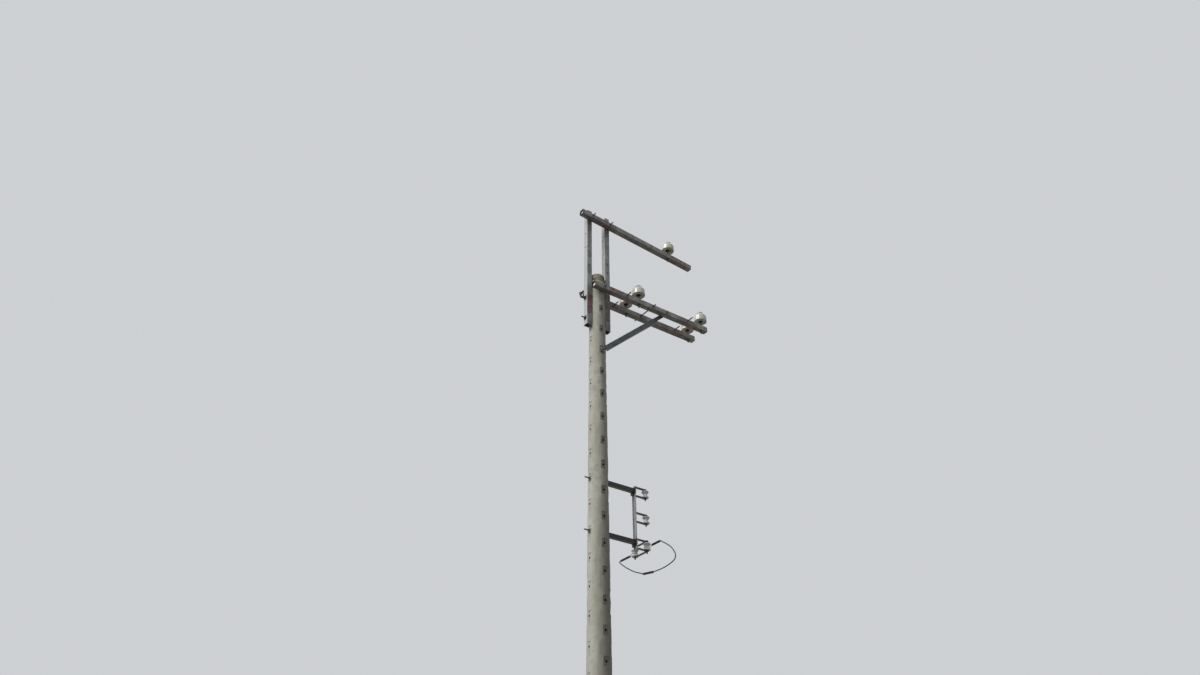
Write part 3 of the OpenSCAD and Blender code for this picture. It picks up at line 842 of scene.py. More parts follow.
@dataclass
class Dressing:
    """Finishes of the nodes that are shown as packed."""

    rim_depth: float = 1 * MM
    wall_depth: float = 2 * MM
    sideways: float = 0.9

    def __post_init__(self) -> None:
        """Choose the finish of each node."""
        left = [Stretch(9.58, 0.18), Stretch(8.36, 0.21, 2.4), Stretch(8.05, 0.06, 0.5)]
        right = [Stretch(9.61, 0.10, 0.7), Stretch(8.34, 0.30, 0.7)]
        top = [Stretch(0.04, 0.20, 0.8), Stretch(1.25, 0.20, 0.85)]
        near = [Stretch(0.25, 0.25, 0.95), Stretch(1.38, 0.26, 0.8)]
        far = [Stretch(0.30, 0.30, 0.45), Stretch(1.30, 0.36, 0.75)]
        self.choice: dict[str, Union[ConcreteFinish, TubeFinish, SteelFinish]] = {
            "pole_shaft": ConcreteFinish(),
            "raiser_left": self.raiser("raiser_left_zinc", left, LEFT_RAISER_LIT_PAINT),
            "raiser_right": self.raiser("raiser_right_zinc", right, RIGHT_RAISER_LIT_PAINT),
            "top_arm": self.arm("top_arm_zinc", TOP_ARM_ZINC, top, end=1.507),
            "near_arm": self.arm("near_arm_zinc", ARM_ZINC, near),
            "far_arm": self.arm("far_arm_zinc", FAR_ARM_ZINC, far, end=1.658),
            "arm_brace": SteelFinish("brace_steel", (0.112, 0.126, 0.128), (0.078, 0.084, 0.085),
                                     rust_share=0.15, scale=22.0),
            "rack_upper_bracket": SteelFinish("bracket_steel", (0.038, 0.037, 0.034), (0.06, 0.058, 0.054)),
            "rack_lower_bracket": SteelFinish("low_bracket_steel", (0.031, 0.030, 0.028),
                                              (0.048, 0.047, 0.044)),
            "rack_back_bar": SteelFinish("bar_zinc", (0.53, 0.54, 0.535), (0.46, 0.465, 0.46),
                                         rust_share=0.05, scale=24.0),
        }
        pins = SteelFinish("pin_zinc", (0.17, 0.17, 0.16), (0.11, 0.108, 0.10))
        for stand in ("top", "near_inner", "near_outer", "far_inner", "far_outer"):
            self.choice[stand + "_pin"] = pins

    @staticmethod
    def arm(name: str, zinc: Color, stretches: Sequence[Stretch], end: Optional[float] = None) -> TubeFinish:
        """Finish of one arm tube, with the place of its clean end if it has one."""
        return TubeFinish(name, zinc, ARM_DULL, ARM_RUST, lit_side_paint=ARM_END_LIT_PAINT, top=ARM_TOP_PAINTED_LIGHT, under=ARM_UNDER_PAINTED_SHADE,
                          stretches=stretches, end=end)

    @staticmethod
    def raiser(name: str, stretches: Sequence[Stretch], lit_side_paint: Color) -> TubeFinish:
        """Finish of one raiser, whose face towards the arms' short ends gets a pale painted highlight as the
        side that the lamp lights.
        """
        return TubeFinish(name, SHADE_ZINC, SHADE_DULL, RUST, lit_side_paint=lit_side_paint, stretches=stretches,
                          run=Run.UPRIGHT)

    def paint_tube_mouth_shade(self) -> None:
        """Paint near black shade on the walls inside the arms and on the rims of their ends."""
        dark = SteelFinish("tube_mouth_painted_shade", (0.012, 0.012, 0.011), (0.022, 0.021, 0.02), metallic=0.0).material()
        middle = SIZES.seat_y + SIZES.tube / 2
        places = {
            "top_arm": SIZES.on_top_arm(),
            "near_arm": at(0, -middle, SIZES.arm_height),
            "far_arm": at(0, middle, SIZES.arm_height),
        }
        inside = SIZES.tube / 2 - self.wall_depth
        for node, place in places.items():
            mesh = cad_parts[node].data
            mesh.materials.append(dark)
            back = place.inverted()
            along = [(back @ v.co).x for v in mesh.vertices]
            start, stop = min(along), max(along)
            for face in mesh.polygons:
                spot = back @ face.center
                rim = min(spot.x - start, stop - spot.x) < self.rim_depth
                wall = max(abs(spot.y), abs(spot.z)) < inside and abs(face.normal.x) < self.sideways
                if rim or wall:
                    face.material_index = 1

    def dress(self) -> None:
        """Give each node its finish, then paint shade into the mouths of the arms."""
        made: dict[int, bpy.types.Material] = {}
        for node, finish in self.choice.items():
            if id(finish) not in made:
                made[id(finish)] = finish.material()
            material = made[id(finish)]
            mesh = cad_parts[node].data
            mesh.materials.clear()
            mesh.materials.append(material)
            for face in mesh.polygons:
                face.material_index = 0
            LOG.info("%s dressed in %s", node, material.name)
        self.paint_tube_mouth_shade()


@dataclass
class Cap:
    """Mortar dome trowelled by hand on top of the shaft."""

    spigot: float = 0.060
    play: float = 0.2 * MM
    lip: float = 4 * MM
    edge: float = 0.034
    crown: Sequence[Flat] = ((0.034, 12 * MM), (0.045, 7 * MM), (0.062, 4 * MM), (0.078, 1.5 * MM))
    wall_steps: int = 8
    segments: int = 120
    roughness: float = 0.0042
    lump_scale: float = 28.0
    mark_scale: float = 95.0
    lump_share: float = 0.7
    mark_share: float = 0.3
    mark_shift: Sequence[float] = (3, 5, 1)
    smooth_foot: float = 1 * MM
    fade: float = 0.010
    heart: float = 0.020

    def build(self, material: bpy.types.Material) -> None:
        """Build the dome with its spigot.

        Args:
            material: Its mortar.
        """
        r = SIZES.shaft_top_radius
        h = SIZES.cap_height
        spigot = r - SIZES.wall - self.play
        rim = h - self.crown[0][1] - self.edge
        profile = [(0, -self.spigot), (spigot, -self.spigot), (spigot, 0), (r - self.lip, 0), (r, self.lip)]
        profile += [(r, self.lip + (rim - self.lip) * i / self.wall_steps) for i in range(1, self.wall_steps)]
        profile += arc((r - self.edge, rim), self.edge, 0, 80, 14)
        profile += [(r - inset, h - drop) for inset, drop in self.crown] + [(0, h)]
        shape = Shape()
        shape.lathe(profile, at(0, 0, SIZES.shaft_height), self.segments)
        shape.move_points(self.roughen)
        shape.finish("mortar_cap", material, Slot.MORTAR, ["pole_cap"], crease=60)

    def roughen(self, p: Vector) -> Vector:
        """Pull a point of the dome in by lumps and trowel marks.

        Args:
            p: The point.

        Returns:
            Where it comes to lie.
        """
        high = p.z - SIZES.shaft_height
        if high < self.smooth_foot:
            return p
        lumps = 0.5 + 0.5 * noise.noise(p * self.lump_scale)
        marks = 0.5 + 0.5 * noise.noise(p * self.mark_scale + Vector(self.mark_shift))
        share = self.lump_share * lumps + self.mark_share * marks
        heart = Vector((0, 0, SIZES.shaft_height + self.heart))
        return p - (p - heart).normalized() * (self.roughness * share * min(1.0, high / self.fade))


@dataclass(frozen=True)
class Bolt:
    """Hexagon bolt along its local Z, between the faces under its head washer and under its nut washer."""

    head_face: float
    nut_face: float
    tail: float
    spacer: float = 0.0


PlacedBolts = Sequence[tuple[Bolt, Matrix]]


@dataclass
class Fasteners:
    """Bolts, nuts, washers and threaded tails of the pole."""

    diameter: float = 0.016
    across: float = 0.027
    head: float = 0.010
    nut: float = 0.013
    shank_sides: int = 24
    washer: float = 0.050
    washer_thickness: float = 0.005
    washer_edge: float = 0.9 * MM
    pitch: float = 0.0025
    thread_depth: float = 0.0013
    steps_a_turn: int = 6
    least_steps: int = 4
    thread_sides: int = 20
    end_chamfer: float = 1.5 * MM
    end_share: float = 0.865
    end_slope: float = 0.18
    in_nut_shank: float = 2 * MM
    in_nut_thread: float = 3 * MM
    countersink: float = 1.4 * MM
    arm_bolts_x: Flat = (0.340, 1.320)
    tie_x: float = 0.753
    brace_head_x: float = 0.979
    brace_foot_row: int = 3
    brace_thickness: float = 0.006
    brace_spacer: float = 0.006
    raiser_tails: Flat = (0.032, 0.058)
    top_arm_tail: float = 0.060
    pole_tail: float = 0.040
    arm_bolt_tails: Flat = (0.085, 0.105)
    tie_tail: float = 0.055
    brace_foot_tail: float = 0.034
    brace_head_tail: float = 0.031

    def square_washer(self, shape: Shape, bottom: float, thickness: float, place: Matrix) -> None:
        """Add a square washer with rounded edges, filled round its bolt."""
        half = self.washer / 2
        shape.block((-half, -half, bottom), (half, half, bottom + thickness), place, self.washer_edge)

    def threaded(self, shape: Shape, bottom: float, top: float, place: Matrix) -> None:
        """Add a stretch of thread with a chamfered end.

        Args:
            shape: Mesh that it goes into.
            bottom: Where it starts.
            top: Where it ends.
            place: Frame of the bolt.
        """
        length = top - bottom
        steps = max(self.least_steps, round(length / self.pitch * self.steps_a_turn))
        path = [place @ Vector((0, 0, bottom + length * i / steps)) for i in range(steps + 1)]

        def radius(way: float, angle: float) -> float:
            """Radius of the thread.

            Args:
                way: Distance along it.
                angle: Angle round it.

            Returns:
                The radius there.
            """
            phase = (way / self.pitch - angle / TURN) % 1.0
            ridge = 1 - abs(2 * phase - 1)
            chamfer = min(1.0, self.end_share + self.end_slope * (length - way) / self.end_chamfer)
            return self.diameter / 2 * chamfer - self.thread_depth * (1 - ridge)

        shape.tube(path, radius, self.thread_sides)

    def add_nut(self, shape: Shape, washers: Shape, face: float, tail: float, place: Matrix) -> None:
        """Add a nut with its washer, and the thread that comes out of it.

        Args:
            shape: Mesh that the nut and the thread go into.
            washers: Mesh that the washer goes into.
            face: Height of the face under the washer.
            tail: Distance from that face to the end of the thread.
            place: Frame of the bolt.
        """
        self.square_washer(washers, face, self.washer_thickness, place)
        seat = face + self.washer_thickness
        shape.hexagon(self.across, seat, seat + self.nut, place, bore=self.diameter / 2 + self.countersink)
        self.threaded(shape, seat + self.nut - self.in_nut_thread, face + tail, place)

    def add_bolt(self, shape: Shape, washers: Shape, bolt: Bolt, place: Matrix) -> None:
        """Add a whole bolt with its washers and nut.

        Args:
            shape: Mesh that the bolt and its nut go into.
            washers: Mesh that its washers go into.
            bolt: The bolt.
            place: Frame whose Z is the bolt's axis.
        """
        r = self.diameter / 2
        low = bolt.head_face - self.washer_thickness
        high = bolt.nut_face + self.washer_thickness + self.in_nut_shank
        shape.lathe([(0, low), (r, low), (r, high), (0, high)], place, self.shank_sides)
        shape.hexagon(self.across, low - self.head, low, place)
        self.square_washer(washers, low, self.washer_thickness, place)
        if bolt.spacer:
            under_brace = bolt.nut_face - self.brace_thickness - bolt.spacer
            self.square_washer(washers, under_brace, bolt.spacer, place)
        self.add_nut(shape, washers, bolt.nut_face, bolt.tail, place)

    def groups(self) -> Iterator[tuple[str, PlacedBolts]]:
        """Bolts of each node.

        Yields:
            The node, and its bolts with their frames.
        """
        s = SIZES
        out = s.seat_y + s.tube
        half = s.tube / 2
        for row, level in enumerate(("upper", "lower")):
            bolt = Bolt(-s.raiser_outer, s.raiser_outer, self.raiser_tails[row])
            z = s.first_hole_along_x - row * s.hole_pitch
            yield f"raiser_{level}_bolt", [(bolt, at(0, 0, z) @ TO_MINUS_X)]
        yield "top_arm_bolts", [
            (Bolt(-half, 3 * half, self.top_arm_tail), at(x, 0, s.top_arm_at(x)) @ TO_MINUS_Y)
            for x in (-s.raiser_middle, s.raiser_middle)]
        yield "arm_pole_bolt", [(Bolt(-out, out, self.pole_tail), at(0, 0, s.arm_height) @ TO_MINUS_Y)]
        middle = s.seat_y + half
        for node, y, back in (("near_arm_bolts", -middle, 0.0), ("far_arm_bolts", middle, s.far_back)):
            yield node, [(Bolt(-half, half, tail), at(x - back, y, s.arm_height) @ TO_MINUS_Y)
                         for x, tail in zip(self.arm_bolts_x, self.arm_bolt_tails)]
        foot = s.first_hole_along_y - self.brace_foot_row * s.hole_pitch
        face = s.seat_face(foot)
        foot_bolt = Bolt(-face, face + (self.brace_spacer + self.brace_thickness), self.brace_foot_tail,
                         self.brace_spacer)
        yield "brace_foot_bolt", [(foot_bolt, at(0, 0, foot) @ TO_MINUS_Y)]
        head_bolt = Bolt(s.seat_y - self.brace_thickness, out, self.brace_head_tail)
        yield "brace_head_bolt", [(head_bolt, at(self.brace_head_x, 0, s.arm_height) @ TO_MINUS_Y)]

    def add_tie(self, shape: Shape, washers: Shape) -> None:
        """Add the tie bolt between the lower arms, with nuts on both sides of each arm.

        Args:
            shape: Mesh that the bolt and its nuts go into.
            washers: Mesh that its washers go into.
        """
        out = SIZES.seat_y + SIZES.tube
        inner = SIZES.seat_y - self.washer_thickness
        place = at(self.tie_x, 0, SIZES.arm_height) @ TO_MINUS_Y
        for turn in (0, TURN / 2):
            side = place @ Matrix.Rotation(turn, 4, "X")
            self.add_nut(shape, washers, out, self.tie_tail, side)
            self.square_washer(washers, inner, self.washer_thickness, side)
            shape.hexagon(self.across, inner - self.nut, inner, side)
        r = self.diameter / 2
        reach = out + self.washer_thickness + self.in_nut_shank
        shape.lathe([(0, -reach), (r, -reach), (r, reach), (0, reach)], place, self.shank_sides)

    def build_group(self, node: str, bolts: PlacedBolts, steel: bpy.types.Material,
                    zinc: bpy.types.Material) -> None:
        """Build the bolts of one node and their washers.

        Args:
            node: The node.
            bolts: Its bolts with their frames, or none for the tie bolt.
            steel: Finish of bolts and nuts.
            zinc: Finish of the washers.
        """
        shape, washers = Shape(), Shape()
        for bolt, place in bolts:
            self.add_bolt(shape, washers, bolt, place)
        if not bolts:
            self.add_tie(shape, washers)
        shape.finish(node + "_threaded", steel, Slot.BOLT_STEEL, [node])
        washers.finish(node + "_washers", zinc, Slot.BOLT_STEEL, [node])

    def build(self, steel: bpy.types.Material, zinc: bpy.types.Material, dark: bpy.types.Material) -> None:
        """Build every bolt node.

        Args:
            steel: Finish of bolts and nuts.
            zinc: Finish of the washers.
            dark: Finish of the bolts through the raisers, nuts and washers too.
        """
        for node, bolts in self.groups():
            finishes = (dark, dark) if node.startswith("raiser") else (steel, zinc)
            self.build_group(node, bolts, *finishes)
        self.build_group("arm_tie_bolt", [], steel, zinc)


@dataclass
class EyeNut:
    """Forged angle eye nut on the tail of the upper raiser bolt, its eye leaning up."""

    ring_radius: float = 0.028
    bar_radius: float = 0.0055
    base_length: float = 0.020
    base_radius: float = 0.014
    shank_radius: float = 0.009
    shank_sunk: float = 4 * MM
    neck_drop: float = 6 * MM
    ring_overlap: float = 3 * MM
    lean: float = math.radians(43)
    base_sides: int = 48
    shank_sides: int = 40
    ring_steps: int = 72
    voxel: float = 0.0011
    softening: float = 0.5
    softening_rounds: int = 5

    def build(self, material: bpy.types.Material) -> None:
        """Build the eye, its shank and its base, run together like a forging.

        Args:
            material: Finish of the forging.
        """
        fasteners = Fasteners()
        start = SIZES.raiser_outer + fasteners.washer_thickness + fasteners.nut
        place = at(-start, 0, SIZES.first_hole_along_x) @ TO_MINUS_X
        r, length = self.base_radius, self.base_length
        shape = Shape()
        base = [(0, 0), (r - 1 * MM, 0), (r, 1 * MM), (r, length - 5 * MM), (r - 2 * MM, length - 1.5 * MM),
                (r - 5 * MM, length), (0, length)]
        shape.lathe(base, place, self.base_sides)
        tilted = place @ at(0, 0, length - self.neck_drop) @ Matrix.Rotation(self.lean, 4, "Y")
        low = -self.shank_sunk
        reach = 2 * self.bar_radius + self.ring_overlap
        r = self.shank_radius
        shank = [(0, low), (r, low), (r, reach - 4 * MM), (r - 3 * MM, reach), (0, reach)]
        shape.lathe(shank, tilted, self.shank_sides)
        middle = at(0, 0, 2 * self.bar_radius + self.ring_radius)
        shape.lathe(circle((self.ring_radius, 0), self.bar_radius), tilted @ middle @ TO_MINUS_Y,
                    self.ring_steps, closed=True)
        piece = shape.finish("forged_eye_nut", material, Slot.BOLT_STEEL, ["eye_nut"], crease=70)
        remesh = piece.modifiers.new("forge", "REMESH")
        remesh.mode = "VOXEL"
        remesh.voxel_size = self.voxel
        remesh.use_smooth_shade = True
        soften = piece.modifiers.new("soften", "SMOOTH")
        soften.factor = self.softening
        soften.iterations = self.softening_rounds
        apply_modifiers(piece)


def apply_modifiers(piece: bpy.types.Object) -> None:
    """Put the result of a piece's modifiers in its mesh and remove them.

    Args:
        piece: The piece.
    """
    graph = bpy.context.evaluated_depsgraph_get()
    made = bpy.data.meshes.new_from_object(piece.evaluated_get(graph))
    piece.modifiers.clear()
    piece.data = made


@dataclass
class PinInsulators:
    """Five porcelain pin insulators: broad shouldered bells with a tie groove and a wire groove.

    The radii and heights of the porcelain are in millimetres, the places of the bells in metres.
    """

    rim_radius: float = 84.0
    height: float = 150.0
    rim_gap: float = 0.072
    shoulder_radius: float = 58.0
    shoulder_height: float = 60.0
    mouth_radius: float = 26.0
    bore_radius: float = 13.0
    socket_height: float = 96.0
    groove_radius: float = 11.0
    inner_x: float = 0.555
    outer_x: float = 1.582
    top_x: float = 1.127
    mouth_lip: float = 5.5
    segments: int = 96

    def profile(self) -> list[Flat]:
        """Outline of the porcelain from the bore round the skirt to the top of the head.

        Returns:
            The outline in metres.
        """
        r, h, m = self.rim_radius, self.height, self.mouth_radius
        points = [(self.bore_radius, 58), (m - 6, 54), (m - 1, 50)]
        points += [(m, 46), (m, 30), (m, 14)]
        points += arc((m + 5, 12), 5, 180, 270, 5)
        points += [(m + 9, 8), (m + 12, 11), (40, 14.5), (46, 17), (54, 17.2), (62, 16), (r - 16, 11),
                   (r - 11, 6.5)]
        points += arc((r - 6, 6), 6, 200, 360, 14)
        points += [(r, 14)]
        shoulder = arc((r - self.shoulder_radius, self.shoulder_height), self.shoulder_radius, -38, 72, 34)
        points += shoulder[12:]
        points += [(41.5, h - 33.6), (38.5, h - 31)]
        points += arc((41, h - 25.5), 5, 215, 150, 6)
        points += arc((33, h - 14), 9, -38, 62, 12)
        points += [(33.5, h - 5.0), (28, h - 4), (24, h - 2.9), (19, h - 1.7), (16, h - 1), (12, h - 0.6),
                   (9, h - 0.4), (6, h - 0.2), (3, h - 0.1), (0, h)]
        return in_metres(points)

    def groove(self, p: Vector) -> Vector:
        """Press the wire groove into the top of the head.

        Args:
            p: A point of the bell.

        Returns:
            Where it comes to lie.
        """
        reach = self.groove_radius * MM
        if abs(p.x) >= reach or p.z < (self.height - 20) * MM:
            return p
        floor = (self.height + 2) * MM - math.sqrt(reach ** 2 - p.x ** 2)
        return Vector((p.x, p.y, min(p.z, floor)))

    def inside(self) -> list[Flat]:
        """The pin socket, from the bore's mouth to its end."""
        return in_metres([(self.bore_radius, self.socket_height), (0, self.socket_height)])

    def places(self) -> Iterator[tuple[str, Matrix]]:
        """Places of the insulators.

        Yields:
            The node, and the frame that it stands in.
        """
        s = SIZES
        rise = at(0, 0, self.rim_gap)
        top = s.on_top_arm() @ at(self.top_x, 0, s.tube / 2)
        yield "top_insulator", top @ rise
        middle = s.seat_y + s.tube / 2
        for side, y, back in (("near", -middle, 0.0), ("far", middle, s.far_back)):
            for row, x in (("inner", self.inner_x), ("outer", self.outer_x)):
                stand = at(x - back, y, s.arm_height + s.tube / 2)
                yield f"{side}_{row}_insulator", stand @ rise

    def shade_pin_mouth(self, bell: bpy.types.Object, place: Matrix, soot: bpy.types.Material) -> None:
        """Paint near black shade on the faces of the pin's mouth.

        Args:
            bell: The insulator.
            place: Frame that it stands in.
            soot: Painted shade of the mouth.
        """
        bell.data.materials.append(soot)
        back = place.inverted()
        reach = (self.mouth_radius + self.mouth_lip) * MM
        for face in bell.data.polygons:
            spot = back @ face.center
            if math.hypot(spot.x, spot.y) < reach and spot.z < self.socket_height * MM:
                face.material_index = 1

    def build(self, materials: dict[str, bpy.types.Material], soot: bpy.types.Material) -> None:
        """Build the five insulators.

        Args:
            materials: Glaze of each arm's insulators, by the arm's name.
            soot: Painted shade of the mouths that the pins go into.
        """
        for node, place in self.places():
            shape = Shape()
            shape.lathe(self.inside()[::-1] + self.profile(), UP, self.segments)
            shape.move_points(self.groove)
            shape.move_points(lambda p, frame_of=place: frame_of @ p)
            glaze = materials[node.split("_")[0]]
            bell = shape.finish(node.replace("insulator", "bell"), glaze, Slot.PORCELAIN, [node], crease=50)
            self.shade_pin_mouth(bell, place, soot)


@dataclass
class Rack:
    """Low voltage rack: long bolts, prongs, rods, spools and the link behind the lowest spool.

    The radii and height of a spool and the points of the rods' heads and pins are in millimetres,
    the other sizes in metres.
    """

    bar_x: float = 0.478
    bar_depth: float = 0.018
    spool_x: float = 0.645
    spool_pitch: float = 0.305
    spool_radius: float = 42.0
    spool_height: float = 82.0
    waist_radius: float = 22.0
    prong_gap: float = 0.096
    prong_width: float = 0.040
    plate: float = 0.006
    plate_edge: float = 1.0 * MM
    foot: float = 0.014
    foot_edge: float = 1.6 * MM
    rod_radius: float = 0.008
    rod_tail: float = 24 * MM
    long_rod_tail: float = 30 * MM
    rod_head: Sequence[Flat] = ((13, 0), (13, 4), (11, 7), (6, 8.8), (0, 9))
    pin_radius: float = 1.6 * MM
    pin_height: float = 9 * MM
    pin_points: Sequence[float] = (-13, -6, 0, 6, 13)
    collar_radius: float = 17 * MM
    rod_sides: int = 32
    pin_sides: int = 10
    collar_sides: int = 40
    spool_sides: int = 80
    hole_radius: float = 0.009
    link_length: float = 0.215
    link_width: float = 0.032
    bolt_tail: float = 0.070
    rows: Sequence[int] = (8, 10)

    @property
    def spool_heights(self) -> list[float]:
        """Heights of the three pairs of prongs, middle by middle."""
        top = SIZES.first_hole_along_x - self.rows[0] * SIZES.hole_pitch
        return [top - i * self.spool_pitch for i in range(3)]

    @property
    def spool_drop(self) -> float:
        """How far a spool hangs below the middle of its prongs."""
        return (self.prong_gap - self.spool_height * MM) / 2

    @property
    def link_low(self) -> float:
        """Underside of the lower link strap."""
        return self.spool_heights[2] - self.prong_gap / 2 - 2 * self.plate

    @property
    def link_high(self) -> float:
        """Underside of the upper link strap."""
        return self.spool_heights[2] + self.prong_gap / 2 + self.plate

    @property
    def link_spool_height(self) -> float:
        """Middle of the spool on the link."""
        return self.link_low + self.plate + self.spool_height / 2 * MM

    def build_prongs(self, material: bpy.types.Material) -> None:
        """Build the six flat prongs with their bent feet.

        Args:
            material: Their finish.
        """
        shape = Shape()
        start = self.bar_x + self.bar_depth
        tip = self.spool_x - start
        half = self.prong_width / 2
        outline = [(3 * MM, -half)] + arc((tip, 0), half, -90, 90, 20) + [(3 * MM, half)]
        for z in self.spool_heights:
            for level, up in ((self.prong_gap / 2, 1), (-self.prong_gap / 2 - self.plate, -1)):
                place = at(start, 0, z + level)
                shape.plate(outline, [(tip, 0, self.hole_radius)], self.plate, place, self.plate_edge)
                low = 0 if up > 0 else self.plate - self.foot
                shape.block((0, -half, low), (self.plate, half, low + self.foot), place, self.foot_edge)
        shape.finish("rack_prong_straps", material, Slot.DARK_STEEL, ["rack_prongs"])

    def add_rod(self, shape: Shape, x: float, y: float, low: float, high: float) -> None:
        """Add an upright rod with a domed head on top and a pointed, pinned foot.

        Args:
            shape: Mesh that it goes into.
            x: Place along the arms.
            y: Place across the arms.
            low: Height of its lower end.
            high: Height of the face under its head.
        """
        r = self.rod_radius
        head = [(radius, high + rise) for radius, rise in in_metres(self.rod_head)]
        profile = [(0, low), (r - 2 * MM, low), (r, low + 2 * MM), (r, high)] + head
        place = at(x, y, 0)
        shape.lathe(profile, place, self.rod_sides)
        pin = [place @ Vector((0, dy * MM, low + self.pin_height)) for dy in self.pin_points]
        shape.tube(pin, self.pin_radius, self.pin_sides)

    def build_rods(self, material: bpy.types.Material) -> None:
        """Build the three rods of the spools, and the rod of the link with its collar.

        Args:
            material: Their finish.
        """
        out = self.prong_gap / 2 + self.plate
        shape = Shape()
        *upper, lowest = self.spool_heights
        for z in upper:
            self.add_rod(shape, self.spool_x, 0, z - out - self.rod_tail, z + out)
        self.add_rod(shape, self.spool_x, 0, lowest - out - self.long_rod_tail, lowest + out + self.plate)
        shape.finish("rack_spool_rods", material, Slot.DARK_STEEL, ["rack_rods"])
        shape = Shape()
        self.add_rod(shape, self.spool_x, self.link_length, self.link_low - self.rod_tail,
                     self.link_high + self.plate)
        low, high = self.link_spool_height + self.spool_height / 2 * MM, self.link_high
        inner, outer = self.rod_radius - 1 * MM, self.collar_radius
        collar = [(inner, low), (outer - 1 * MM, low), (outer, low + 1 * MM), (outer, high - 1 * MM),
                  (outer - 1 * MM, high), (inner, high)]
        shape.lathe(collar, at(self.spool_x, self.link_length, 0), self.collar_sides, closed=True)
        shape.finish("link_spool_rod", material, Slot.DARK_STEEL, ["link_rod"])

    def build_link(self, material: bpy.types.Material) -> None:
        """Build the two link straps.

        Args:
            material: Their finish.
        """
        shape = Shape()
        half = self.link_width / 2
        outline = arc((0, 0), half, 180, 360, 20) + arc((0, self.link_length), half, 0, 180, 20)
        holes = [(0, 0, self.hole_radius), (0, self.link_length, self.hole_radius)]
        for z in (self.link_low, self.link_high):
            shape.plate(outline, holes, self.plate, at(self.spool_x, 0, z), self.plate_edge)
        shape.finish("link_straps", material, Slot.DARK_STEEL, ["spool_link"])

    def spool_profile(self) -> list[Flat]:
        """Outline of a spool, a loop round its bore.

        Returns:
            The outline in metres.
        """
        r, h, waist = self.spool_radius, self.spool_height / 2, self.waist_radius
        bore = self.rod_radius / MM + 1
        points = [(bore, -h + 1), (bore + 1, -h), (r - 20, -h), (r - 14, -h)]
        points += arc((r - 8, -h + 8), 8, -90, 60, 14)
        points += [(r + 4 - waist * math.cos(math.radians(a)), waist * math.sin(math.radians(a)))
                   for a in range(-58, 59, 4)]
        points += arc((r - 8, h - 8), 8, -60, 90, 14)
        points += [(r - 14, h), (r - 20, h), (bore + 1, h), (bore, h - 1)]
        return in_metres(points)

    def build_spools(self, material: bpy.types.Material) -> None:
        """Build the four spools.

        Args:
            material: Their glaze.
        """
        places = {name: (0.0, z - self.spool_drop) for name, z in
                  zip(("upper_spool", "middle_spool", "lower_spool"), self.spool_heights)}
        places["link_spool"] = (self.link_length, self.link_spool_height)
        for node, (y, z) in places.items():
            shape = Shape()
            shape.lathe(self.spool_profile(), at(self.spool_x, y, z), self.spool_sides, closed=True)
            shape.finish(node + "_glazed", material, Slot.SPOOL_PORCELAIN, [node], crease=50)

    def build_bolts(self, steel: bpy.types.Material, zinc: bpy.types.Material) -> None:
        """Build the two long bolts that hold the rack on the pole.

        Args:
            steel: Finish of bolts and nuts.
            zinc: Finish of the washers.
        """
        for node, row in zip(("rack_upper_bolt", "rack_lower_bolt"), self.rows):
            z = SIZES.first_hole_along_x - row * SIZES.hole_pitch
            bolt = Bolt(-self.bar_x - self.bar_depth, SIZES.seat_face(z), self.bolt_tail)
            place = at(0, 0, z) @ TO_MINUS_X
            Fasteners().build_group(node, [(bolt, place)], steel, zinc)


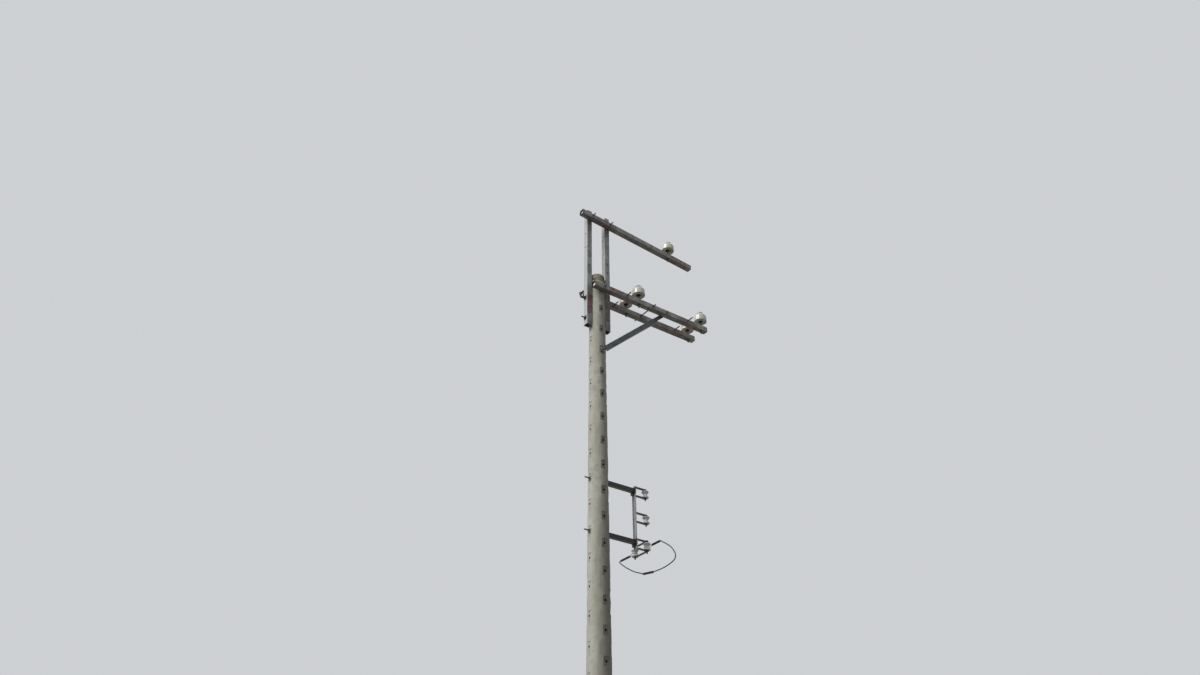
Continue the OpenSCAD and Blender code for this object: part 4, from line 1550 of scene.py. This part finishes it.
@dataclass
class DeadEnds:
    """Two dead end grips on the rack's lowest spool and on the link's spool."""

    rack: Rack
    near_body: Flat = (-0.080, -0.232)
    far_body: Flat = (0.295, 0.482)
    sag: float = 0.004
    body_radius: float = 0.0125
    strand_radius: float = 0.0019
    lay_radius: float = 0.0021
    groove_radius: float = 0.0286
    lay_pitch: float = 0.045
    strands: int = 3
    strand_steps: int = 3
    strand_sides: int = 8
    legs_in_cover: float = 0.030
    leg_gap: float = 0.0042
    leg_steps: int = 17
    turn_steps: int = 20
    cover_start: float = 8 * MM
    cover_step: float = 1.4 * MM
    cover_sides: int = 24
    cover_ends: Flat = (0.62, 0.55)
    cover_tapers: Flat = (0.022, 0.020)
    tape_width: float = 0.014
    tape_thickness: float = 0.6 * MM
    tape_inset: float = 0.7 * MM

    def bail_path(self, spool_y: float, body: Flat, z: float) -> list[Vector]:
        """Middle line of the wire loop round the spool, from one leg's end to the other's.

        Args:
            spool_y: Middle of the spool.
            body: Both ends of the covered body.
            z: Height of the grip.

        Returns:
            Points of the loop.
        """
        way = math.copysign(1, body[1] - body[0])
        x0 = self.rack.spool_x
        join = body[0] + way * self.legs_in_cover
        leg = abs(join - spool_y)
        side = []
        for i in range(self.leg_steps + 1):
            t = i / self.leg_steps
            ease = t * t * (3 - 2 * t)
            side.append((self.groove_radius * (1 - ease) + self.leg_gap * ease, spool_y + way * leg * t))
        right = [Vector((x0 + x, y, z)) for x, y in reversed(side)]
        angles = [math.pi * k / self.turn_steps for k in range(1, self.turn_steps)]
        r = self.groove_radius
        turn = [Vector((x0 + r * math.cos(a), spool_y - way * r * math.sin(a), z)) for a in angles]
        left = [Vector((x0 - x, y, z)) for x, y in side]
        return right + turn + left

    def add_strands(self, shape: Shape, path: Sequence[Vector]) -> None:
        """Add the wires, twisted round a middle line.

        Args:
            shape: Mesh that they go into.
            path: The middle line.
        """
        dense = smooth_path(path, self.strand_steps)
        upward = Vector((0, 0, 1))
        for k in range(self.strands):
            wire, way = [], 0.0
            for i, p in enumerate(dense):
                way += (p - dense[i - 1]).length if i else 0.0
                ahead = (dense[min(i + 1, len(dense) - 1)] - dense[max(i - 1, 0)]).normalized()
                across = ahead.cross(upward).normalized()
                angle = TURN * (way / self.lay_pitch + k / self.strands)
                wire.append(p + self.lay_radius * (math.cos(angle) * across + math.sin(angle) * upward))
            shape.tube(wire, self.strand_radius, self.strand_sides)

    def cover_radius(self, length: float) -> Radius:
        """Radius of the tape that wraps the body, with its spiral edges and tapered ends.

        Args:
            length: Length of the wrapped body.

        Returns:
            A function of the way along the body and the angle round it.
        """
        (low_end, high_end), (low_taper, high_taper) = self.cover_ends, self.cover_tapers

        def radius(way: float, angle: float) -> float:
            """Radius of the tape.

            Args:
                way: Distance along the body.
                angle: Angle round it.

            Returns:
                The radius there.
            """
            lap = (way / self.tape_width - angle / TURN) % 1.0
            ends = min(1.0, low_end + way / low_taper, high_end + (length - way) / high_taper)
            return (self.body_radius - self.tape_inset + self.tape_thickness * lap) * ends

        return radius

    def build_one(self, node: str, spool_y: float, body: Flat, z: float, steel: bpy.types.Material,
                  cover: bpy.types.Material) -> None:
        """Build one grip: its wire loop and its wrapped body.

        Args:
            node: The node that both stand for.
            spool_y: Middle of the spool that it holds.
            body: Both ends of the covered body.
            z: Height of the grip.
            steel: Finish of the wires.
            cover: Finish of the wrapping.
        """
        shape = Shape()
        self.add_strands(shape, self.bail_path(spool_y, body, z))
        shape.finish(node + "_loop", steel, Slot.BOLT_STEEL, [node], crease=70)
        way = math.copysign(1, body[1] - body[0])
        start = body[0] + way * self.cover_start
        length = abs(body[1] - start)
        steps = round(length / self.cover_step)
        path = [Vector((self.rack.spool_x, start + way * length * i / steps, z)) for i in range(steps + 1)]
        shape = Shape()
        shape.tube(path, self.cover_radius(length), self.cover_sides)
        shape.finish(node + "_wrapping", cover, Slot.GRIP_COVER, [node], crease=55)

    def build(self, steel: bpy.types.Material, cover: bpy.types.Material) -> None:
        """Build both grips.

        Args:
            steel: Finish of the wires.
            cover: Finish of the wrapping.
        """
        rack = self.rack
        near = rack.spool_heights[2] - rack.spool_drop - self.sag
        far = rack.link_spool_height - self.sag
        self.build_one("near_grip", 0.0, self.near_body, near, steel, cover)
        self.build_one("far_grip", rack.link_length, self.far_body, far, steel, cover)


@dataclass
class Jumper:
    """Jumper of two insulated tails, from the grips down to the sleeve that joins them."""

    diameter: float = 0.012
    route_steps: int = 5
    roundness: int = 5
    x: float = 0.645
    near_route: Sequence[Flat] = (
        (-0.232, 5.429), (-0.246, 5.424), (-0.260, 5.414), (-0.274, 5.403), (-0.297, 5.388),
        (-0.320, 5.373), (-0.342, 5.357), (-0.364, 5.340), (-0.385, 5.323), (-0.404, 5.305),
        (-0.421, 5.287), (-0.435, 5.269), (-0.449, 5.250), (-0.460, 5.231), (-0.468, 5.213),
        (-0.471, 5.197), (-0.470, 5.182), (-0.464, 5.168), (-0.453, 5.157), (-0.438, 5.149),
        (-0.415, 5.142), (-0.390, 5.136), (-0.362, 5.131), (-0.333, 5.127), (-0.302, 5.124),
        (-0.270, 5.122), (-0.206, 5.122), (-0.143, 5.125), (-0.115, 5.127), (-0.090, 5.128))
    far_route: Sequence[Flat] = (
        (0.482, 5.423), (0.491, 5.4235), (0.496, 5.422), (0.500, 5.4185), (0.501, 5.4135),
        (0.500, 5.409), (0.497, 5.4055), (0.489, 5.399), (0.472, 5.385), (0.455, 5.371),
        (0.432, 5.353), (0.409, 5.336), (0.384, 5.318), (0.358, 5.301), (0.330, 5.283),
        (0.302, 5.265), (0.275, 5.249), (0.247, 5.233), (0.220, 5.219), (0.192, 5.206),
        (0.165, 5.194), (0.137, 5.182), (0.110, 5.170), (0.094, 5.161), (0.078, 5.155))
    sleeve_radius: float = 0.0125
    sleeve_steps: int = 120
    sleeve_sides: int = 36
    sleeve_end: float = 0.72
    sleeve_taper: float = 0.012
    crimps: int = 5
    crimp_share: Flat = (0.28, 0.72)
    crimp_scale: float = 0.94

    @property
    def joint(self) -> Vector:
        """Middle of the sleeve, where both tails meet."""
        (near_y, near_z), (far_y, far_z) = self.near_route[-1], self.far_route[-1]
        return Vector((self.x, (near_y + far_y) / 2, (near_z + far_z) / 2))

    def tail(self, name: str, route: Sequence[Flat], node: str, material: bpy.types.Material,
             sleeve: bpy.types.Object) -> None:
        """Args:
            name: Name of the piece.
            route: Its route across the arms and up.
            node: The node that it stands for.
            material: Finish of its sheath.
            sleeve: Not used.
        """
        points = smooth_path([(self.x, y, z) for y, z in route], self.route_steps)
        points.append(self.joint)
        curve = bpy.data.curves.new(name, "CURVE")
        curve.dimensions = "3D"
        curve.bevel_depth = self.diameter / 2
        curve.bevel_resolution = self.roundness
        curve.use_fill_caps = True
        spline = curve.splines.new("POLY")
        spline.points.add(len(points) - 1)
        for target, p in zip(spline.points, points):
            target.co = (*p, 1)
        curve.materials.append(material)
        piece = place_piece(bpy.data.objects.new(name, curve), Slot.CABLE_SHEATH, [node])
        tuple(points[0])
        run_length(points)

    def sleeve(self, material: bpy.types.Material) -> bpy.types.Object:
        """Build the compression sleeve with its crimped bands.

        Args:
            material: Finish of the sleeve.

        Returns:
            The sleeve.
        """
        start = Vector((self.x, *self.near_route[-1]))
        stop = Vector((self.x, *self.far_route[-1]))
        length = (stop - start).length
        path = [start.lerp(stop, i / self.sleeve_steps) for i in range(self.sleeve_steps + 1)]

        def radius(way: float, angle: float) -> float:
            """Radius of the sleeve.

            Args:
                way: Distance along it.
                angle: Angle round it.

            Returns:
                The radius there.
            """
            ends = min(1.0, self.sleeve_end + min(way, length - way) / self.sleeve_taper)
            band = (way / length * self.crimps) % 1.0
            pressed = 0.0 < way / length < 1.0 and self.crimp_share[0] < band < self.crimp_share[1]
            flat = math.cos(TURN / 12) / math.cos(angle % (TURN / 6) - TURN / 12)
            return self.sleeve_radius * ends * (self.crimp_scale * flat if pressed else 1.0)

        shape = Shape()
        shape.tube(path, radius, self.sleeve_sides)
        return shape.finish("crimped_sleeve", material, Slot.CABLE_SHEATH, ["jumper_sleeve"], crease=40)

    def build(self, cable: bpy.types.Material, cover: bpy.types.Material) -> None:
        """Build the sleeve and both tails.

        Args:
            cable: Finish of the tails.
            cover: Finish of the sleeve.
        """
        sleeve = self.sleeve(cover)
        self.tail("near_jumper_cable", self.near_route, "near_jumper", cable, sleeve)
        self.tail("far_jumper_cable", self.far_route, "far_jumper", cable, sleeve)


@dataclass
class Stage:
    """Camera, lamp, sky and floor round the pole."""

    lens: float = 27.8746
    sensor: float = 36.0
    yaw: float = math.radians(35.5377)
    pitch: float = math.radians(33.9823)
    roll: float = math.radians(-0.43763)
    eye: tuple[float, float, float] = (-5.35622, -7.55469, 1.68571)
    floor_half: float = 60.0
    sky_seen: Color = (0.615, 0.63, 0.655)
    sky_light: Color = (0.30, 0.305, 0.32)
    floor_seen: Color = (0.70, 0.70, 0.69)
    floor_light: Color = (0.13, 0.13, 0.125)
    sun_strength: float = 2.95
    sun_rise: float = math.radians(40)
    sun_turn: float = math.radians(2)
    sun_width: float = math.radians(40)
    sun_color: Color = (1.0, 0.985, 0.95)
    sight: float = 400.0
    floor_roughness: float = 0.9

    def camera(self) -> None:
        """Place the camera at the viewing angle of the photograph."""
        ahead = Vector((math.sin(self.yaw) * math.cos(self.pitch), math.cos(self.yaw) * math.cos(self.pitch),
                        math.sin(self.pitch)))
        level = Vector((math.cos(self.yaw), -math.sin(self.yaw), 0))
        upward = level.cross(ahead)
        right = math.cos(self.roll) * level + math.sin(self.roll) * upward
        over = -math.sin(self.roll) * level + math.cos(self.roll) * upward
        lens = bpy.data.cameras.new("view")
        lens.lens = self.lens
        lens.sensor_width = self.sensor
        lens.sensor_fit = "HORIZONTAL"
        lens.clip_end = self.sight
        seat = bpy.data.objects.new("view", lens)
        turn = Matrix((right, over, -ahead)).transposed().to_4x4()
        seat.matrix_world = Matrix.Translation(self.eye) @ turn
        bpy.context.scene.collection.objects.link(seat)
        bpy.context.scene.camera = seat

    def lamp(self) -> None:
        """Hang a soft sun lamp on the side of the raisers."""
        sun = bpy.data.lights.new("key", "SUN")
        sun.energy = self.sun_strength
        sun.angle = self.sun_width
        sun.color = self.sun_color
        holder = bpy.data.objects.new("key", sun)
        towards = Vector((-math.cos(self.sun_rise) * math.cos(self.sun_turn),
                          -math.cos(self.sun_rise) * math.sin(self.sun_turn), math.sin(self.sun_rise)))
        holder.rotation_euler = towards.to_track_quat("Z", "Y").to_euler()
        bpy.context.scene.collection.objects.link(holder)

    @staticmethod
    def seen_by_eye(tree: bpy.types.NodeTree) -> Socket:
        """1 on rays that the camera, a gloss or a glass sends.

        Args:
            tree: Node tree that gets the nodes.

        Returns:
            The socket.
        """
        rays = tree.nodes.new("ShaderNodeLightPath")
        total = rays.outputs["Is Camera Ray"]
        for name in ("Is Glossy Ray", "Is Transmission Ray"):
            larger = tree.nodes.new("ShaderNodeMath")
            larger.operation = "MAXIMUM"
            tree.links.new(total, larger.inputs[0])
            tree.links.new(rays.outputs[name], larger.inputs[1])
            total = larger.outputs[0]
        return total

    def tint(self, tree: bpy.types.NodeTree, unseen: Color, seen: Color) -> Socket:
        """Colour that differs between what is seen and what lights the pole.

        Args:
            tree: Node tree that gets the nodes.
            unseen: Colour for light that falls on the pole.
            seen: Colour that the eye sees.

        Returns:
            The colour.
        """
        mix = tree.nodes.new("ShaderNodeMix")
        mix.data_type = "RGBA"
        tree.links.new(self.seen_by_eye(tree), mix.inputs[MIX_AMOUNT])
        mix.inputs[MIX_BASE].default_value = (*unseen, 1)
        mix.inputs[MIX_TOP].default_value = (*seen, 1)
        return mix.outputs[MIX_RESULT]

    def sky(self) -> None:
        """Surround the pole with an even, pale sky."""
        world = bpy.data.worlds.new("pale_sky")
        world.use_nodes = True
        tree = world.node_tree
        color = self.tint(tree, self.sky_light, self.sky_seen)
        tree.links.new(color, tree.nodes["Background"].inputs["Color"])
        bpy.context.scene.world = world

    def floor(self) -> None:
        """Lay a plain pale floor under the pole."""
        mesh = bpy.data.meshes.new("floor")
        h = self.floor_half
        mesh.from_pydata([(-h, -h, 0), (h, -h, 0), (h, h, 0), (-h, h, 0)], [], [(0, 1, 2, 3)])
        material = bpy.data.materials.new("floor")
        material.use_nodes = True
        tree = material.node_tree
        shader = tree.nodes["Principled BSDF"]
        tree.links.new(self.tint(tree, self.floor_light, self.floor_seen), shader.inputs["Base Color"])
        shader.inputs["Roughness"].default_value = self.floor_roughness
        mesh.materials.append(material)
        piece = bpy.data.objects.new("floor", mesh)
        bpy.context.scene.collection.objects.link(piece)

    def build(self) -> None:
        """Build the camera first, then the lamp, the sky and the floor."""
        self.camera()
        self.lamp()
        self.sky()
        self.floor()
        bpy.context.scene.view_settings.view_transform = "Standard"


def glazes() -> dict[str, bpy.types.Material]:
    """Glazes of the insulators.

    Returns:
        The glaze on each arm, by the arm's name.
    """
    pale = (0.64, 0.65, 0.595)
    browned = (0.60, 0.49, 0.39)
    return {
        "top": GlazeFinish("top_glaze", pale, (0.50, 0.525, 0.36), (0.25, 0.26, 0.14), 0.6).material(),
        "near": GlazeFinish("near_glaze", pale, (0.55, 0.565, 0.48), (0.30, 0.31, 0.24)).material(),
        "far": GlazeFinish("far_glaze", (0.66, 0.64, 0.57), browned, (0.30, 0.235, 0.18)).material(),
    }


def main() -> None:
    """Build the stage and the pole's pieces in order."""
    logging.basicConfig(level=logging.INFO, format="%(name)s: %(message)s")
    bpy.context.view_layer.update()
    Stage().build()
    rack = Rack()
    cable = SheathFinish("jumper_sheath", (0.012, 0.022, 0.040), (0.04, 0.06, 0.085)).material()
    cover = SheathFinish("black_cover", (0.006, 0.0065, 0.008), (0.018, 0.019, 0.022), 0.6).material()
    Jumper().build(cable, cover)
    Dressing().dress()
    Cap().build(MortarFinish().material())
    bolts = SteelFinish("bolt_steel_grey", (0.085, 0.082, 0.078), (0.14, 0.135, 0.125), rust_share=0.45,
                        scale=90.0).material()
    black = SteelFinish("raiser_bolt_steel", (0.028, 0.03, 0.032), (0.045, 0.046, 0.047), metallic=0.1,
                        scale=90.0).material()
    dark = SteelFinish("strap_steel", (0.034, 0.032, 0.029), (0.06, 0.056, 0.051), rust_share=0.4,
                       metallic=0.1, scale=60.0).material()
    strand = SteelFinish("strand_zinc", (0.50, 0.51, 0.51), (0.38, 0.385, 0.38), rust_share=0.05,
                         scale=150.0).material()
    zinc = SteelFinish("washer_zinc", (0.30, 0.30, 0.285), (0.20, 0.195, 0.18), rust_share=0.35,
                       scale=70.0).material()
    Fasteners().build(bolts, zinc, black)
    EyeNut().build(black)
    # Painted shade for the insulators' pin mouths
    soot = SteelFinish("pin_mouth_painted_shade", (0.018, 0.018, 0.014), (0.032, 0.031, 0.024), rust_share=0.1,
                       metallic=0.0).material()
    PinInsulators().build(glazes(), soot)
    rack.build_prongs(dark)
    rack.build_rods(dark)
    rack.build_link(dark)
    rack.build_bolts(bolts, zinc)
    rack.build_spools(GlazeFinish("spool_glaze", (0.70, 0.695, 0.68), (0.61, 0.60, 0.585),
                                  (0.24, 0.235, 0.22), 0.15).material())
    DeadEnds(rack).build(strand, cover)


if __name__ == "__main__":
    main()
